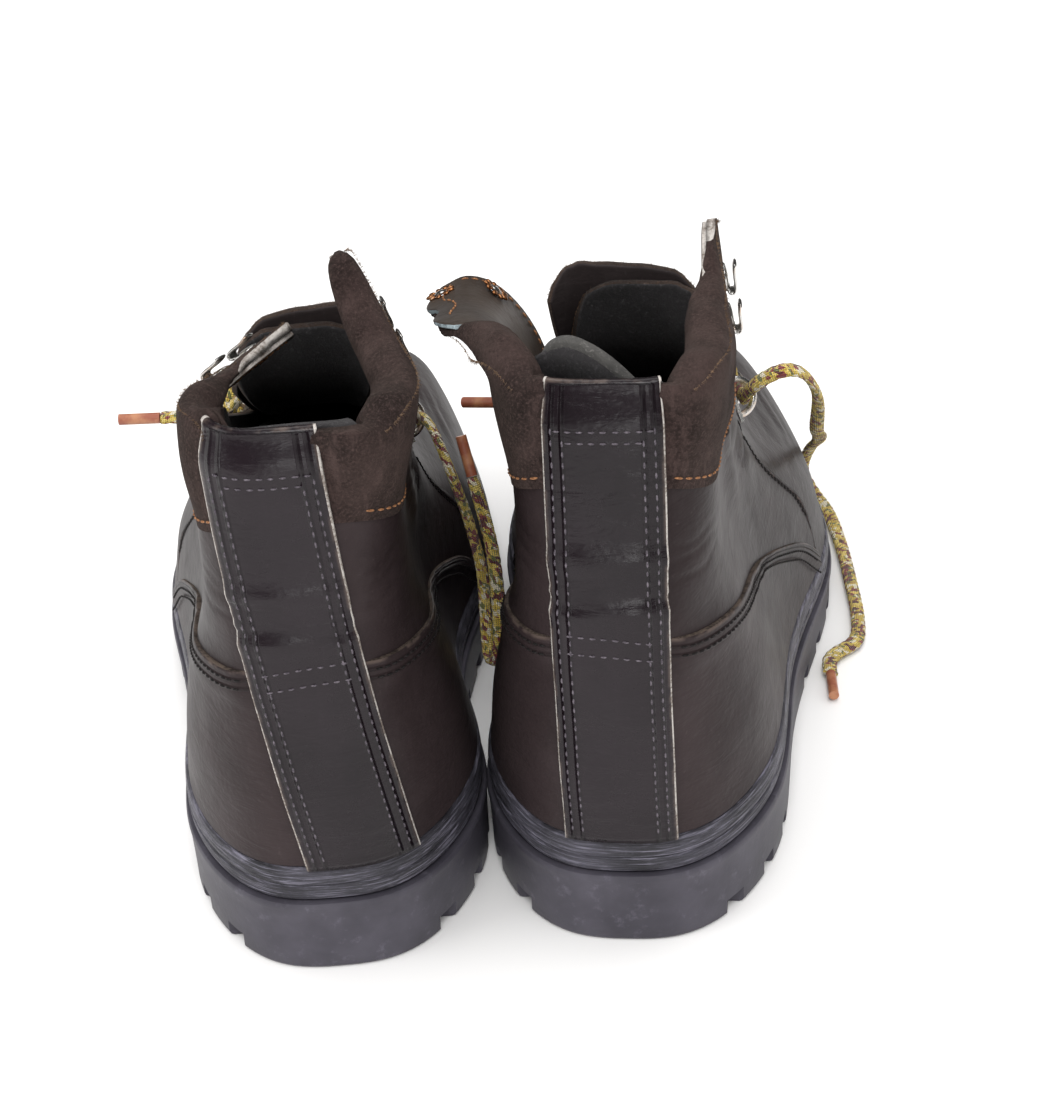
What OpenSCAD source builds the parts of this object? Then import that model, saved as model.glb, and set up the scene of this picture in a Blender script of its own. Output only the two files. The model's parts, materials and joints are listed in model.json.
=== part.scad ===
// A pair of lace-up leather hiking boots with lugged rubber soles.
// Every boot is modelled once, in its own frame: x runs to the outer side of the foot,
// y runs from the toe back to the heel, z is up, and the heel's rearmost point is at y = 0.
// The right boot is the left one mirrored; only the way the ears lie differs.

/* [Sole] */
// Length of the sole, heel to toe
sole_length = 300; // [280:1:315]
// Width of the upper where it meets the sole, at the heel
heel_width = 83; // [76:1:88]
// Width there, at the waist of the foot
waist_width = 85; // [80:1:90]
// Width there, at the ball of the foot
ball_width = 108; // [100:1:114]
// Height of the upper's lower edge at the heel
heel_height = 34; // [30:0.5:38]
// Thickness of the ribbed midsole at the heel
midsole_heel = 11; // [8:0.5:13]
// Thickness of the midsole at the ball
midsole_ball = 8; // [6:0.5:9]
// How far the outsole's lip stands out past the leather
sole_margin = 1.7; // [1.2:0.1:3]
// Depth of the tread
tread_depth = 5; // [3:0.5:6]

/* [Upper] */
// Height of the backstay's top above the ground
back_height = 167; // [155:1:180]
// Width of the backstay strip
strip_width = 31; // [24:1:34]
// Thickness of one layer of leather
leather = 1.9; // [1.6:0.1:2.2]
// Free space between two layers
layer_gap = 0.4; // [0.3:0.05:0.6]
// How far the backstay's foot sits towards the inner side on the left boot
left_strip_low = -9; // [-9:0.5:0]
// How far the backstay's top sits towards the outer side on the left boot
left_strip_high = 10; // [0:0.5:10]
// How far the left boot's worn shaft leans outwards at the top
left_lean_out = -4; // [-6:0.5:0]
// How far it leans backwards
left_lean_back = 6; // [0:0.5:8]
// How far it has sunk
left_sink = 3; // [0:0.5:5]

/* [Ears] */
// Fold of the left boot's outer ear, negative towards the foot
left_lateral_fold = -62; // [-70:1:0]
// Fold of the left boot's inner ear, negative towards the foot
left_medial_fold = -28; // [-32:1:-26]
// Fold of the right boot's outer ear, negative towards the foot
right_lateral_fold = -13; // [-20:1:-8]
// Curl of the right boot's inner ear, away from the foot
right_medial_fold = 145; // [101:1:150]

/* [Tongue] */
// How much lower the left tongue's outer corner is, as a share of the shaft's height
left_tongue_tilt = 0.09; // [0:0.01:0.1]

/* [Lacing] */
// Diameter of the lace
lace_d = 3.6; // [3:0.1:4]
// Wire thickness of the lace loops
loop_wire = 2.0; // [1.6:0.1:2.2]

// Length of the sleeve on each lace end
aglet_length = 12; // [10:1:20]

/* [Placement] */
// Distance between the two heels' centre lines
boot_spacing = 76.5; // [74:0.5:100]
// How far the left heel stands behind the right one
left_back = 7; // [0:0.5:15]
// How far the left boot's toe points outwards
left_toe_out = 4.5; // [3:0.5:10]
// How far the right boot's toe points outwards
right_toe_out = 5; // [3:0.5:10]

/* [Hidden] */
// Puts the origin under the middle of the pair's bounding box
pair_shift = [5.3, 141.2, 0];
// Sag of the shaft's top of the boot being drawn
$sag = [0, 0, 0];

// Stations along a ring, as the cosine of the ring angle: heel, waist, ball, toe
STATIONS = [0.72, 0.26, -0.29, -0.8];
layer_step = leather + layer_gap;
LAYER1 = layer_step;     // depth of the panels' outer face, under the backstay
LAYER2 = 2 * layer_step; // stiffeners and padding
LAYER3 = 3 * layer_step; // lining

// ---------- smooth curve through [x, y] knots ----------
function knot(k, x, i = 0) = (i >= len(k) - 2 || x < k[i + 1][0]) ? i : knot(k, x, i + 1);
function slope(k, i) =
    let (a = max(i - 1, 0), b = min(i + 1, len(k) - 1))
    (k[b][1] - k[a][1]) / (k[b][0] - k[a][0]);
function hermite(u, h, y0, y1, m0, m1) =
    u < 0 ? y0 + m0 * h * u :
    u > 1 ? y1 + m1 * h * (u - 1) :
    (2 * u - 3) * u * u * (y0 - y1) + y0 + (u * u - 2 * u + 1) * u * h * m0 + (u - 1) * u * u * h * m1;
function curve(k, x) =
    let (i = knot(k, x), h = k[i + 1][0] - k[i][0])
    hermite((x - k[i][0]) / h, h, k[i][1], k[i + 1][1], slope(k, i), slope(k, i + 1));

// ---------- the upper: rings from the sole's edge (level 0) to the topline (level 1) ----------
// Where a ring crosses the back and the front, as y before mirroring (forward of the heel)
function back_y(v) = curve([[0, 2.5], [0.2, -0.5], [0.5, -1], [0.75, 4], [1, 8]], v);
function front_y(v) = sole_length * curve([[0, 0.973], [0.1, 0.943], [0.2, 0.873], [0.3, 0.778],
    [0.4, 0.683], [0.5, 0.593], [0.6, 0.507], [0.75, 0.417], [1, 0.387]], v);
function back_z(v) = heel_height + (back_height - heel_height) * v;
function front_z(v) = heel_height / 34 * curve([[0, 31], [0.1, 49], [0.2, 61], [0.3, 70], [0.4, 80],
    [0.5, 92], [0.6, 106], [0.75, 131], [1, 172]], v);
function ring_power(v) = curve([[0, 0.72], [0.4, 0.72], [0.6, 0.62], [0.75, 0.56], [1, 0.5]], v);
function ring_widths(v) = [
    heel_width / 2 * curve([[0, 1], [0.2, 0.91], [0.4, 0.765], [0.5, 0.69], [0.75, 0.65], [1, 0.66]], v),
    waist_width / 2 * curve([[0, 1], [0.2, 0.89], [0.4, 0.76], [0.5, 0.71], [0.75, 0.67], [1, 0.69]], v),
    ball_width / 2 * curve([[0, 1], [0.2, 0.86], [0.4, 0.67], [0.5, 0.61], [0.75, 0.565], [1, 0.61]], v),
    ball_width / 2 * curve([[0, 0.70], [0.2, 0.59], [0.4, 0.42], [0.5, 0.38], [0.6, 0.43],
        [0.75, 0.50], [1, 0.58]], v)];
function ring_width(v, c) =
    let (w = ring_widths(v), p = ring_power(v),
         m = [for (i = [0:3]) [-STATIONS[i], w[i] / pow(1 - STATIONS[i] * STATIONS[i], p / 2)]])
    curve(concat([[-1, m[0][1]]], m, [[1, m[3][1]]]), -c);
// The foot's centre line bends: waist outwards, toe inwards
function foot_bend(v, q) =
    max(0, 1 - v / 0.55) * curve([[0, 0], [0.2, 0], [0.4, 3.5], [0.65, 1], [0.9, -6], [1, -11]], q);
function ball_dip(v, q) = 10 * max(0, 1 - v / 0.6) * pow(sin(180 * pow(q, 1.9)), 2);
// A point of the upper's outer face: v is the ring level, a the angle round the ring
// (0 at the back, 90 on the outer side, 180 in front, -90 on the inner side)
function skin(v, a) =
    let (c = cos(a), s = sin(a), q = (1 - c) / 2, back = back_y(v), front = front_y(v))
    [foot_bend(v, q) + sign(s) * pow(abs(s), ring_power(v)) * ring_width(v, c),
     -(back + (front - back) * q),
     back_z(v) * (1 - q) + front_z(v) * q - ball_dip(v, q)] + $sag * pow(max(0, (v - 0.3) / 0.7), 2);
function unit(p) = p / norm(p);
STEP = 0.004;
function skin_normal(v, a) =
    let (b = abs(sin(a)) < 0.012 ? a + (sin(a) < 0 ? -0.7 : 0.7) : a,
         da = 0.6, u = skin(v, b + da) - skin(v, b - da),
         w = skin(v + STEP, a) - skin(v - STEP, a), n = unit(cross(w, u)))
    // the layers stand square on the sole's edge, so near it the normal loses its tilt
    unit([n[0], n[1], n[2] * min(1, v / 0.15)]);
// The same point, d deeper than the outer face
function deep(v, a, d) = skin(v, a) - d * skin_normal(v, a);

// ---------- seams and edges, as ring levels along the ring angle ----------
function topline(a) = curve([[0, 1], [30, 0.985], [60, 0.965], [85, 0.99], [105, 1.035], [122, 1.03],
    [135, 0.96]], abs(a));
function counter_seam(a) = curve([[0, 0.5], [25, 0.47], [52, 0.42], [75, 0.30], [86, 0.16], [95, 0.03]], abs(a));
function collar_seam(a) = curve([[0, 0.80], [20, 0.785], [50, 0.735], [80, 0.70], [120, 0.66]], abs(a));
function vamp_seam(a) = curve([[95, 0.03], [98, 0.17], [103, 0.33], [111, 0.48], [120, 0.60], [127, 0.655]], abs(a));
function throat_edge(a) = curve([[127, 0.655], [133, 0.63], [148, 0.54], [162, 0.49], [180, 0.475]], abs(a));
FOLD_BACK = 64;   // ring angle where the ear's fold line leaves the topline
FOLD_FRONT = 128; // ring angle of the ear's front edge
function fold_line(a) = 0.945 + (0.70 - 0.945) * (abs(a) - FOLD_BACK) / (FOLD_FRONT - FOLD_BACK);
function wall_top(a) = abs(a) < FOLD_BACK ? min(topline(a), fold_line(a) + 0.03) : fold_line(a);

// ---------- the ears: fold about a straight line on the side of the boot ----------
CURL_LENGTH = 30;
function fold_ends(side) = [skin(0.945, side * FOLD_BACK), skin(0.70, side * FOLD_FRONT)];
// Bends a point beyond the fold line by angle f, positive away from the foot, spread over length m
function bent(p, side, f, m) =
    f == 0 ? p :
    let (ends = fold_ends(side), e = unit(ends[1] - ends[0]), o = p - ends[0],
         n = unit(cross(e, [0, 0, 1]) * side * -1), rise = cross(e, n) * side, h = o * rise, w = o * n,
         hc = max(0, min(h, m)), g = f * hc / m, r = m / (f * PI / 180))
    h <= 0 ? p :
    ends[0] + e * (o * e)
        + rise * (r * sin(g) + (h - hc) * cos(g) - w * sin(g))
        + n * (r * (1 - cos(g)) + (h - hc) * sin(g) + w * cos(g));

// ---------- solids between two depths of the skin ----------
function steps(a, b, n) = [for (i = [0:n]) a + (b - a) * i / n];
function grid_faces(nc, nr, o, flip) = [for (i = [0:nc - 2], j = [0:nr - 2])
    let (p = o + i * nr + j, q = p + nr)
    each flip ? [[p, p + 1, q + 1], [p, q + 1, q]] : [[p, q + 1, p + 1], [p, q, q + 1]]];
function rim(nc, nr) = concat([for (i = [0:nc - 1]) i * nr], [for (j = [1:nr - 1]) (nc - 1) * nr + j],
    [for (i = [nc - 2:-1:0]) i * nr + nr - 1], [for (j = [nr - 2:-1:1]) j]);
// Closes an outer and an inner grid of points into one solid; each has nc columns of nr points
module slab(outer, inner, nc, nr) {
    r = rim(nc, nr);
    m = nc * nr;
    sides = [for (k = [0:len(r) - 1]) let (a = r[k], b = r[(k + 1) % len(r)])
        each [[b, a, a + m], [b, a + m, b + m]]];
    polyhedron(concat(outer, inner),
        concat(grid_faces(nc, nr, 0, false), grid_faces(nc, nr, m, true), sides));
}
// A leather piece: columns at the given ring angles, from level lo to level hi, between two depths
module piece(angles, lo, hi, rows, d_out, d_in, side = 1, fold = 0, spread = 6) {
    nr = rows + 1;
    nc = len(angles);
    function at(i, j, d) = bent(deep(lo[i] + (hi[i] - lo[i]) * j / rows, angles[i], d), side, fold, spread);
    slab([for (i = [0:nc - 1], j = [0:rows]) at(i, j, d_out)],
         [for (i = [0:nc - 1], j = [0:rows]) at(i, j, d_in)], nc, nr);
}

// ---------- the sole ----------
function sole_point(a, out) = let (p = skin(0, a), n = skin_normal(0.001, a)) [p[0] + out * n[0], p[1] + out * n[1]];
function sole_outline(out) = [for (i = [0:47]) sole_point(360 * i / 48 + 2 * sin(720 * i / 48), out)];
function feather(t) = let (q = min(1, max(0, (t - 2.5) / (front_y(0) - 2.5)))) back_z(0) * (1 - q) + front_z(0) * q - ball_dip(0, q);
function midsole_depth(t) = curve([[0, midsole_heel], [90, midsole_heel], [190, midsole_ball], [300, midsole_ball]], t);
function sole_top(t) = feather(t) - layer_gap;
function lip(t) = sole_top(t) - midsole_depth(t) - 0.2;
module side_profile(points) {
    rotate([90, 0, 90]) translate([0, 0, -120]) linear_extrude(240) polygon([for (p = points) [-p[0], p[1]]]);
}
TREAD_Y = steps(-6, sole_length + 8, 32);

module outsole() {
    color([0.10, 0.10, 0.10])
    difference() {
        intersection() {
            linear_extrude(80) polygon(sole_outline(sole_margin - LAYER1));
            side_profile(concat([for (t = TREAD_Y) [t, lip(t)]],
                [[sole_length + 8, 15], [sole_length - 25, 3.5], [sole_length - 70, 0], [112, 0], [94, 9],
                 [82, 9], [78, 0], [4, 0], [-6, 3]]));
        }
        tread_grooves();
    }
}
// Notches round the edge and channels across and along the tread
module tread_grooves() {
    for (y = [18, 36, 54], x = [-1, 1])
        translate([x * 40, -y, tread_depth / 2 - 1]) cube([26, 7, tread_depth + 2], center = true);
    for (x = [-9, 9])
        translate([x, -40, tread_depth / 2 - 1]) cube([5, 52, tread_depth + 2], center = true);
    for (y = [126:20:246], x = [-1, 1])
        translate([x * 42, -y - x * 3, tread_depth / 2 - 1]) cube([44, 7, tread_depth + 2], center = true);
    translate([0, -182, tread_depth / 2 - 1]) cube([6, 124, tread_depth + 2], center = true);
}

module midsole() {
    color([0.14, 0.13, 0.13])
    intersection() {
        linear_extrude(80) polygon(sole_outline(sole_margin - LAYER1 - 0.8));
        side_profile(concat([for (t = TREAD_Y) [t, sole_top(t)]],
            [for (i = [len(TREAD_Y) - 1:-1:0]) [TREAD_Y[i], lip(TREAD_Y[i]) + 0.2]]));
    }
}

LINING_IN = 4 * layer_step - layer_gap;
module sole_layer(inset, low, high, t0, t1) {
    intersection() {
        linear_extrude(90) polygon(sole_outline(-inset));
        side_profile(concat([for (t = steps(t0, t1, 24)) [t, feather(t) + high]],
            [for (t = steps(t1, t0, 24)) [t, feather(t) + low]]));
    }
}
BOARD_LOW = 2.1;
BOARD_HIGH = 4.3;
module insole_board() {
    color([0.55, 0.45, 0.33]) sole_layer(LINING_IN + 2.6, BOARD_LOW, BOARD_HIGH, 0, sole_length - 22);
}
module shank() {
    color([0.6, 0.6, 0.62])
    intersection() {
        translate([-1, -95, 30]) cube([16, 100, 60], center = true);
        side_profile(concat([for (t = steps(40, 150, 14)) [t, feather(t) + BOARD_LOW - 0.3]],
            [for (t = steps(150, 40, 14)) [t, feather(t) + BOARD_LOW - 1.6]]));
    }
}
module footbed() {
    color([0.30, 0.30, 0.31]) sole_layer(LINING_IN + 5, BOARD_HIGH + 0.4, BOARD_HIGH + 5, 8, sole_length - 34);
}

// ---------- the upper's pieces ----------
function mirrored(list) = [for (i = [len(list) - 1:-1:0]) -list[i]];
// Ring angles in rising order on the given side
function on_side(list, side) = side > 0 ? list : mirrored(list);
function levels(f0, angles) = [for (a = angles) f0];
SEAM = 0.006; // half the space between two pieces that meet edge to edge, as a ring level

module vamp() {
    angles = [95.2, 99, 104, 109, 115, 121, 127, 134, 142, 151, 160, 170, 180];
    all = concat(angles, [for (i = [len(angles) - 2:-1:0]) 360 - angles[i]]);
    function hi(a) = let (b = a > 180 ? 360 - a : a) (b < 127 ? vamp_seam(b) : throat_edge(b)) - SEAM;
    color([0.24, 0.19, 0.17])
    piece(all, levels(0, all), [for (a = all) hi(a)], 9, LAYER1, LAYER1 + leather);
}
PUFF = 1.1; // thickness of the toe puff
module toe_puff() {
    angles = steps(128, 232, 14);
    color([0.75, 0.70, 0.60])
    piece(angles, levels(0.012, angles), levels(0.26, angles), 5, LAYER2 + 0.55, LAYER2 + 0.55 + PUFF);
}
QUARTER = [0.4, 4, 9, 15, 22, 30, 38, 46, 54, 62, 70, 78, 86, 93, 98, 103, 108, 113, 118];
module quarter(side) {
    angles = on_side(QUARTER, side);
    lo = [for (a = angles) abs(a) < 95 ? counter_seam(a) + 2 * SEAM : vamp_seam(a) + 0.02];
    hi = [for (a = angles) collar_seam(a) - SEAM];
    color([0.22, 0.17, 0.15])
    piece(angles, lo, hi, 6, LAYER1, LAYER1 + leather);
}
module heel_foxing() {
    angles = [-94.3, -89, -82, -75, -66, -57, -48, -39, -30, -22, -15, -9, -4, 0, 4, 9, 15, 22, 30, 39, 48, 57, 66, 75, 82, 89, 94.3];
    color([0.22, 0.17, 0.15])
    piece(angles, levels(0, angles), [for (a = angles) counter_seam(a) - SEAM], 5, LAYER1, LAYER1 + leather);
}
module heel_counter() {
    angles = [-70, -60, -50, -40, -31, -23, -15, -9, -4, 0, 4, 9, 15, 23, 31, 40, 50, 60, 70];
    color([0.72, 0.66, 0.55])
    piece(angles, levels(0.01, angles), [for (a = angles) 0.42 - 0.0024 * abs(a)], 4, LAYER2, LAYER2 + leather);
}
// Ring angle of a point s across the back of the boot, at level v
function across(v, s) = sign(s) * asin(pow(min(0.9, abs(s) / ring_width(v, 1)), 1 / ring_power(v)));
module backstay(low, high) {
    rows = 14;
    offsets = [-1, -0.8, -0.6, -0.35, -0.12, 0.12, 0.35, 0.6, 0.8, 1];
    nr = rows + 1;
    function shift(v) = low + (high - low) * v;
    function at(i, j, d) = let (v = 0.005 + 0.995 * j / rows)
        deep(v, across(v, offsets[i] * strip_width / 2 + shift(v)), d);
    color([0.25, 0.20, 0.19])
    slab([for (i = [0:len(offsets) - 1], j = [0:rows]) at(i, j, 0)],
         [for (i = [0:len(offsets) - 1], j = [0:rows]) at(i, j, leather)], len(offsets), nr);
}
COLLAR = [0, 4, 9, 15, 22, 30, 38, 46, 54, 62, 70, 78, 86, 94, 102, 110];
module collar() {
    angles = concat(mirrored([for (i = [1:len(COLLAR) - 1]) COLLAR[i]]), COLLAR);
    color([0.30, 0.22, 0.19])
    piece(angles, [for (a = angles) collar_seam(a) + SEAM], [for (a = angles) wall_top(a) - SEAM],
        3, LAYER1, LAYER1 + leather);
}
module collar_foam() {
    angles = concat(mirrored([for (i = [1:10]) COLLAR[i]]), [for (i = [0:10]) COLLAR[i]]);
    color([0.80, 0.76, 0.62])
    piece(angles, levels(0.74, angles), [for (a = angles) wall_top(a) - 0.03], 3, LAYER2, LAYER2 + leather);
}
module lining() {
    half = [0, 4, 9, 15, 22, 30, 40, 50, 60, 70, 80, 90, 100, 110, 119, 128, 137, 147, 157, 168];
    angles = concat(mirrored([for (i = [1:len(half) - 1]) half[i]]), half, [180]);
    function top(a) = let (b = abs(a)) b < 118 ? wall_top(b) - 0.012 : curve([[110, 0.75], [122, 0.60], [134, 0.46], [146, 0.43], [160, 0.425], [180, 0.42]], b);
    color([0.35, 0.30, 0.27])
    piece(angles, levels(0.012, angles), [for (a = angles) top(a)], 7, LAYER3, LAYER3 + leather - layer_gap);
}

// ---------- tongue ----------
module tongue_sheet(d_out, d_in, a0, v0, v1, tilt = 0) {
    angles = steps(a0, 360 - a0, 10);
    function hi(a) = let (k = (180 - a) / (180 - a0)) v1 - 0.05 * pow(abs(k), 3) - tilt * (1 + k) / 2;
    piece(angles, levels(v0, angles), [for (a = angles) hi(a)], 6, d_out, d_in);
}
module gusset() {
    color([0.23, 0.18, 0.16]) tongue_sheet(LAYER2, LAYER2 + leather, 142, 0.455, 0.685);
}
module tongue(tilt) {
    color([0.23, 0.18, 0.16]) tongue_sheet(LAYER1 - 1, LAYER1 + leather - 1, 147, 0.70, 0.885, tilt);
}
module tongue_lining(tilt) {
    color([0.40, 0.36, 0.33]) tongue_sheet(LAYER2 - 1, LAYER2 + 2 * leather - 1, 149, 0.705, 0.875, tilt);
}

// ---------- ears, hooks and loops ----------
EAR = [80, 86, 92, 98, 104, 110, 116, 122, 127];
EAR_GAP = 0.020;    // space between the wall and an ear, as a ring level
FACING_GAP = 0.062; // the same for the ear's inner face, which swings past the wall
function ear_spread(fold) = abs(fold) > 100 ? CURL_LENGTH : 8;
module ear_sheet(side, fold, d_out, d_in, gap, inset) {
    angles = on_side(EAR, side);
    difference() {
        piece(angles, [for (a = angles) fold_line(a) + gap], [for (a = angles) topline(a) - inset],
            6, d_out, d_in, side, fold, ear_spread(fold));
        for (k = [0:len(HOOK_LEVEL) - 1]) on_ear(side, fold, k) cylinder(r = RIVET_R + 0.05, h = 24, center = true, $fn = 24);
    }
}
module ear(side, fold) {
    color([0.30, 0.22, 0.19]) ear_sheet(side, fold, LAYER1, LAYER1 + leather, EAR_GAP, 0);
}
module ear_facing(side, fold) {
    color([0.30, 0.24, 0.20]) ear_sheet(side, fold, LAYER2, LAYER2 + leather, FACING_GAP, 0.01);
}
RIVET_R = 1.5;
HOOK_BEND = 1.5; // radius of the bent tongue
WASHER_R = 3.8;
WASHER = 0.9; // its thickness
HOOK_LEVEL = [0.92, 0.84];
HOOK_ANGLE = [119, 119.5];
HOOK_SEAT = LAYER1;
// Puts its children on an ear's outer face, at hook k: z along the outward normal, y down the front edge
module on_ear(side, fold, k) {
    v = HOOK_LEVEL[k];
    a = side * HOOK_ANGLE[k];
    function at(vv, aa, d) = bent(deep(vv, aa, d), side, fold, ear_spread(fold));
    p = at(v, a, HOOK_SEAT);
    n = unit(p - at(v, a, HOOK_SEAT + 1));
    e = unit(at(v - 0.01, a, HOOK_SEAT) - at(v + 0.01, a, HOOK_SEAT));
    placed(p, n, e) children();
}
module placed(p, n, e) {
    b = acos(n[2]);
    c = atan2(n[1], n[0]);
    lx = [cos(b) * cos(c), cos(b) * sin(c), -sin(b)];
    ly = [-sin(c), cos(c), 0];
    translate(p) rotate([0, b, c]) rotate([0, 0, atan2(-(e * lx), e * ly)]) children();
}
FACING = LAYER2 - LAYER1 + leather; // depth of the ear's inner face below its outer face
// A lace hook: a washer on each side of the ear, the rivet between them and a bent tongue outside.
// rise is the space under the outer washer, which a hollow ear needs
module hook(rise) {
    color([0.75, 0.75, 0.74]) {
        translate([0, 0, rise]) cylinder(r = WASHER_R, h = WASHER, $fn = 32);
        translate([0, 0, -FACING - 1.2]) cylinder(r = RIVET_R, h = FACING + rise + 1.5, $fn = 24);
        translate([0, 0, -FACING - 1.12]) cylinder(r = WASHER_R, h = WASHER, $fn = 32);
        translate([0, 1.2, rise + WASHER + HOOK_BEND + 0.35]) rotate([0, 90, 0])
            rotate_extrude(angle = 235, $fn = 32) translate([HOOK_BEND, 0]) square([1, 4.8], center = true);
    }
}
module hooks(side, fold) {
    for (k = [0:len(HOOK_LEVEL) - 1]) on_ear(side, fold, k) hook(fold > 100 ? 1.15 : 0.12);
}
LOOP_LEVEL = [0.515, 0.555, 0.60];
LOOP_ANGLE = [146, 137, 129];
LOOP_DROP = 0.045; // how far a loop's foot sits below the throat's edge, as a ring level
LOOP_SET = 2;      // and how far outside it, in degrees
module on_vamp(side, k) {
    v = LOOP_LEVEL[k] - LOOP_DROP;
    a = side * (LOOP_ANGLE[k] - LOOP_SET);
    p = deep(v, a, LAYER1);
    placed(p, skin_normal(v, a), loop_run(side, k)) children();
}
LOOP_RISE = 1.0;  // space under a loop's plate, which is flat on a rounded vamp
LOOP_PLATE = [14.5, 6, 1];
LOOP_ARCH = 5.5;  // radius of a loop's arch
ARCH_RISE = 0.9;  // height of its centre above the plate's underside
LACE_RISE = 1.4;  // height of a lace's underside in a loop, above the plate's underside
module lace_loop() {
    color([0.75, 0.75, 0.74]) {
        translate([0, 0, LOOP_RISE + LOOP_PLATE[2] / 2]) cube(LOOP_PLATE, center = true);
        translate([0, 0, LOOP_RISE + ARCH_RISE]) rotate([90, 0, 0])
            rotate_extrude(angle = 180, $fn = 32) translate([LOOP_ARCH, 0]) circle(r = loop_wire / 2, $fn = 16);
    }
}
module loops(side) {
    for (k = [0:2]) on_vamp(side, k) lace_loop();
}

// ---------- lace ----------
function loop_centre(side, k) =
    let (v = LOOP_LEVEL[k] - LOOP_DROP, a = side * (LOOP_ANGLE[k] - LOOP_SET))
    deep(v, a, LAYER1) + skin_normal(v, a) * (LOOP_RISE + LACE_RISE + lace_d / 2);
// Direction in which the lace passes a loop: up the throat's edge, square to the vamp's normal
function loop_run(side, k) =
    let (e = deep(LOOP_LEVEL[2], side * LOOP_ANGLE[2], LAYER1) - deep(LOOP_LEVEL[0], side * LOOP_ANGLE[0], LAYER1),
         n = skin_normal(LOOP_LEVEL[k] - LOOP_DROP, side * (LOOP_ANGLE[k] - LOOP_SET)))
    unit(e - n * (e * n));
function smooth_path(pts, n) = [for (i = [0:len(pts) - 2], k = [0:n - 1])
    let (a = pts[max(i - 1, 0)], b = pts[i], c = pts[i + 1], d = pts[min(i + 2, len(pts) - 1)], u = k / n)
    b + (c - a) / 2 * u * (1 - u) * (1 - u) + (c - b) * (3 - 2 * u) * u * u + (d - b) / 2 * u * u * (u - 1)];
// Sweeps a round cord along a path of points
module cord(path, d) {
    n = len(path);
    m = 6;
    function dir(i) = unit(path[min(i + 1, n - 1)] - path[max(i - 1, 0)]);
    function across_of(i) = let (t = dir(i)) unit(cross(t, abs(t[2]) > 0.9 ? [1, 0, 0] : [0, 0, 1]));
    pts = [for (i = [0:n - 1], k = [0:m - 1]) let (t = dir(i), x = across_of(i), y = cross(t, x))
        path[i] + d / 2 * (x * cos(360 * k / m) + y * sin(360 * k / m))];
    faces = [for (i = [0:n - 2], k = [0:m - 1]) let (p = i * m + k, q = i * m + (k + 1) % m)
        each [[p, p + m, q + m], [p, q + m, q]]];
    polyhedron(pts, concat([[for (k = [0:m - 1]) k]], faces, [[for (k = [m - 1:-1:0]) (n - 1) * m + k]]));
}
// A point above the vamp: u runs from loop k on the given side to loop k + 1 on the other
function crossing(side, k, h) = [for (u = [0.2, 0.4, 0.6, 0.8])
    let (a0 = LOOP_ANGLE[k] - LOOP_SET, a1 = 360 - LOOP_ANGLE[k + 1] + LOOP_SET,
         v = LOOP_LEVEL[k] - LOOP_DROP + (LOOP_LEVEL[k + 1] - LOOP_LEVEL[k]) * u
             + CROSS_BOW * sin(180 * pow(u, CROSS_SKEW)))
    deep(v, side * (a0 + (a1 - a0) * u), LAYER1 - LACE_LIFT - h * sin(180 * u))];
CROSS_BOW = 0.085;  // how far a crossing bows up the boot, as a ring level
CROSS_SKEW = 0.7;   // below 1 puts the bow nearer the crossing's start
LACE_LIFT = lace_d / 2 + 1.3;
BAR = [179.4, 170, 158]; // ring angles of the bar between the two lowest loops
function bar(side) = [for (a = BAR) deep(LOOP_LEVEL[0] - LOOP_DROP - 0.04, side * a, LAYER1 - LACE_LIFT)];
RUN = 4.5; // half the straight stretch inside a loop
function through(side, k) = let (p = loop_centre(side, k), r = loop_run(side, k)) [p - r * RUN, p + r * RUN];
function strand(side, h) = concat(bar(side), through(side, 0), crossing(side, 0, h), through(-side, 1),
    crossing(-side, 1, h), through(side, 2));
module lace(outer_end, inner_end) {
    color([0.62, 0.50, 0.20]) {
        cord(smooth_path(concat(strand(1, 0), outer_end), 3), lace_d);
        cord(smooth_path(concat(strand(-1, 2 * lace_d), inner_end), 3), lace_d);
    }
}
function tip(path) = let (n = len(path)) [path[n - 1], unit(path[n - 1] - path[n - 2])];
module aglets(outer_end, inner_end) {
    color([0.55, 0.25, 0.18])
    for (path = [outer_end, inner_end])
        let (end = tip(path))
        translate(end[0] + end[1] * 0.4)
        rotate([0, acos(end[1][2]), atan2(end[1][1], end[1][0])]) cylinder(r = 1.6, h = aglet_length, $fn = 24);
}

// The free lace ends, from the top loop outwards and down. LEFT: the outer one points sideways
LEFT_OUT = [[31, -119, 110], [36, -120.5, 111], [42, -121, 111]];
// LEFT_IN hangs down between the boots as a loop and comes back up
LEFT_IN = [[-35, -106, 110], [-40, -98, 98], [-44, -98, 81], [-46.5, -97, 65], [-46.5, -92, 50], [-47, -86, 41],
    [-49.5, -84, 44], [-50.5, -89, 56], [-49.8, -97, 74], [-46, -105, 92]];
// RIGHT_OUT hangs outside the boot and lies on the ground in a loop
RIGHT_OUT = [[34, -117, 112], [41, -115, 117], [47, -119, 114], [51, -128, 102], [50.5, -160, 74], [51, -200, 50],
    [50.5, -222, 36], [47.5, -238, 24], [44.8, -250, 9], [48, -247, 2.6], [54, -231, 2.2], [58.5, -208, 2.2],
    [61.5, -185, 2.2], [63.5, -166, 2.2], [63, -151, 2.2], [56.5, -143, 2.2], [54.5, -138, 2.2], [55, -132, 2.2]];
RIGHT_IN = [[-31, -118, 108], [-36, -115, 107], [-41, -117, 106]];

// ---------- the pair ----------
module left() {
    $sag = [left_lean_out, left_lean_back, -left_sink];
    translate(pair_shift + [boot_spacing / 2, left_back, 0]) rotate([0, 0, left_toe_out]) children();
}
module right() {
    translate(pair_shift + [-boot_spacing / 2, 0, 0]) rotate([0, 0, -right_toe_out]) mirror([1, 0, 0]) children();
}

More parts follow.
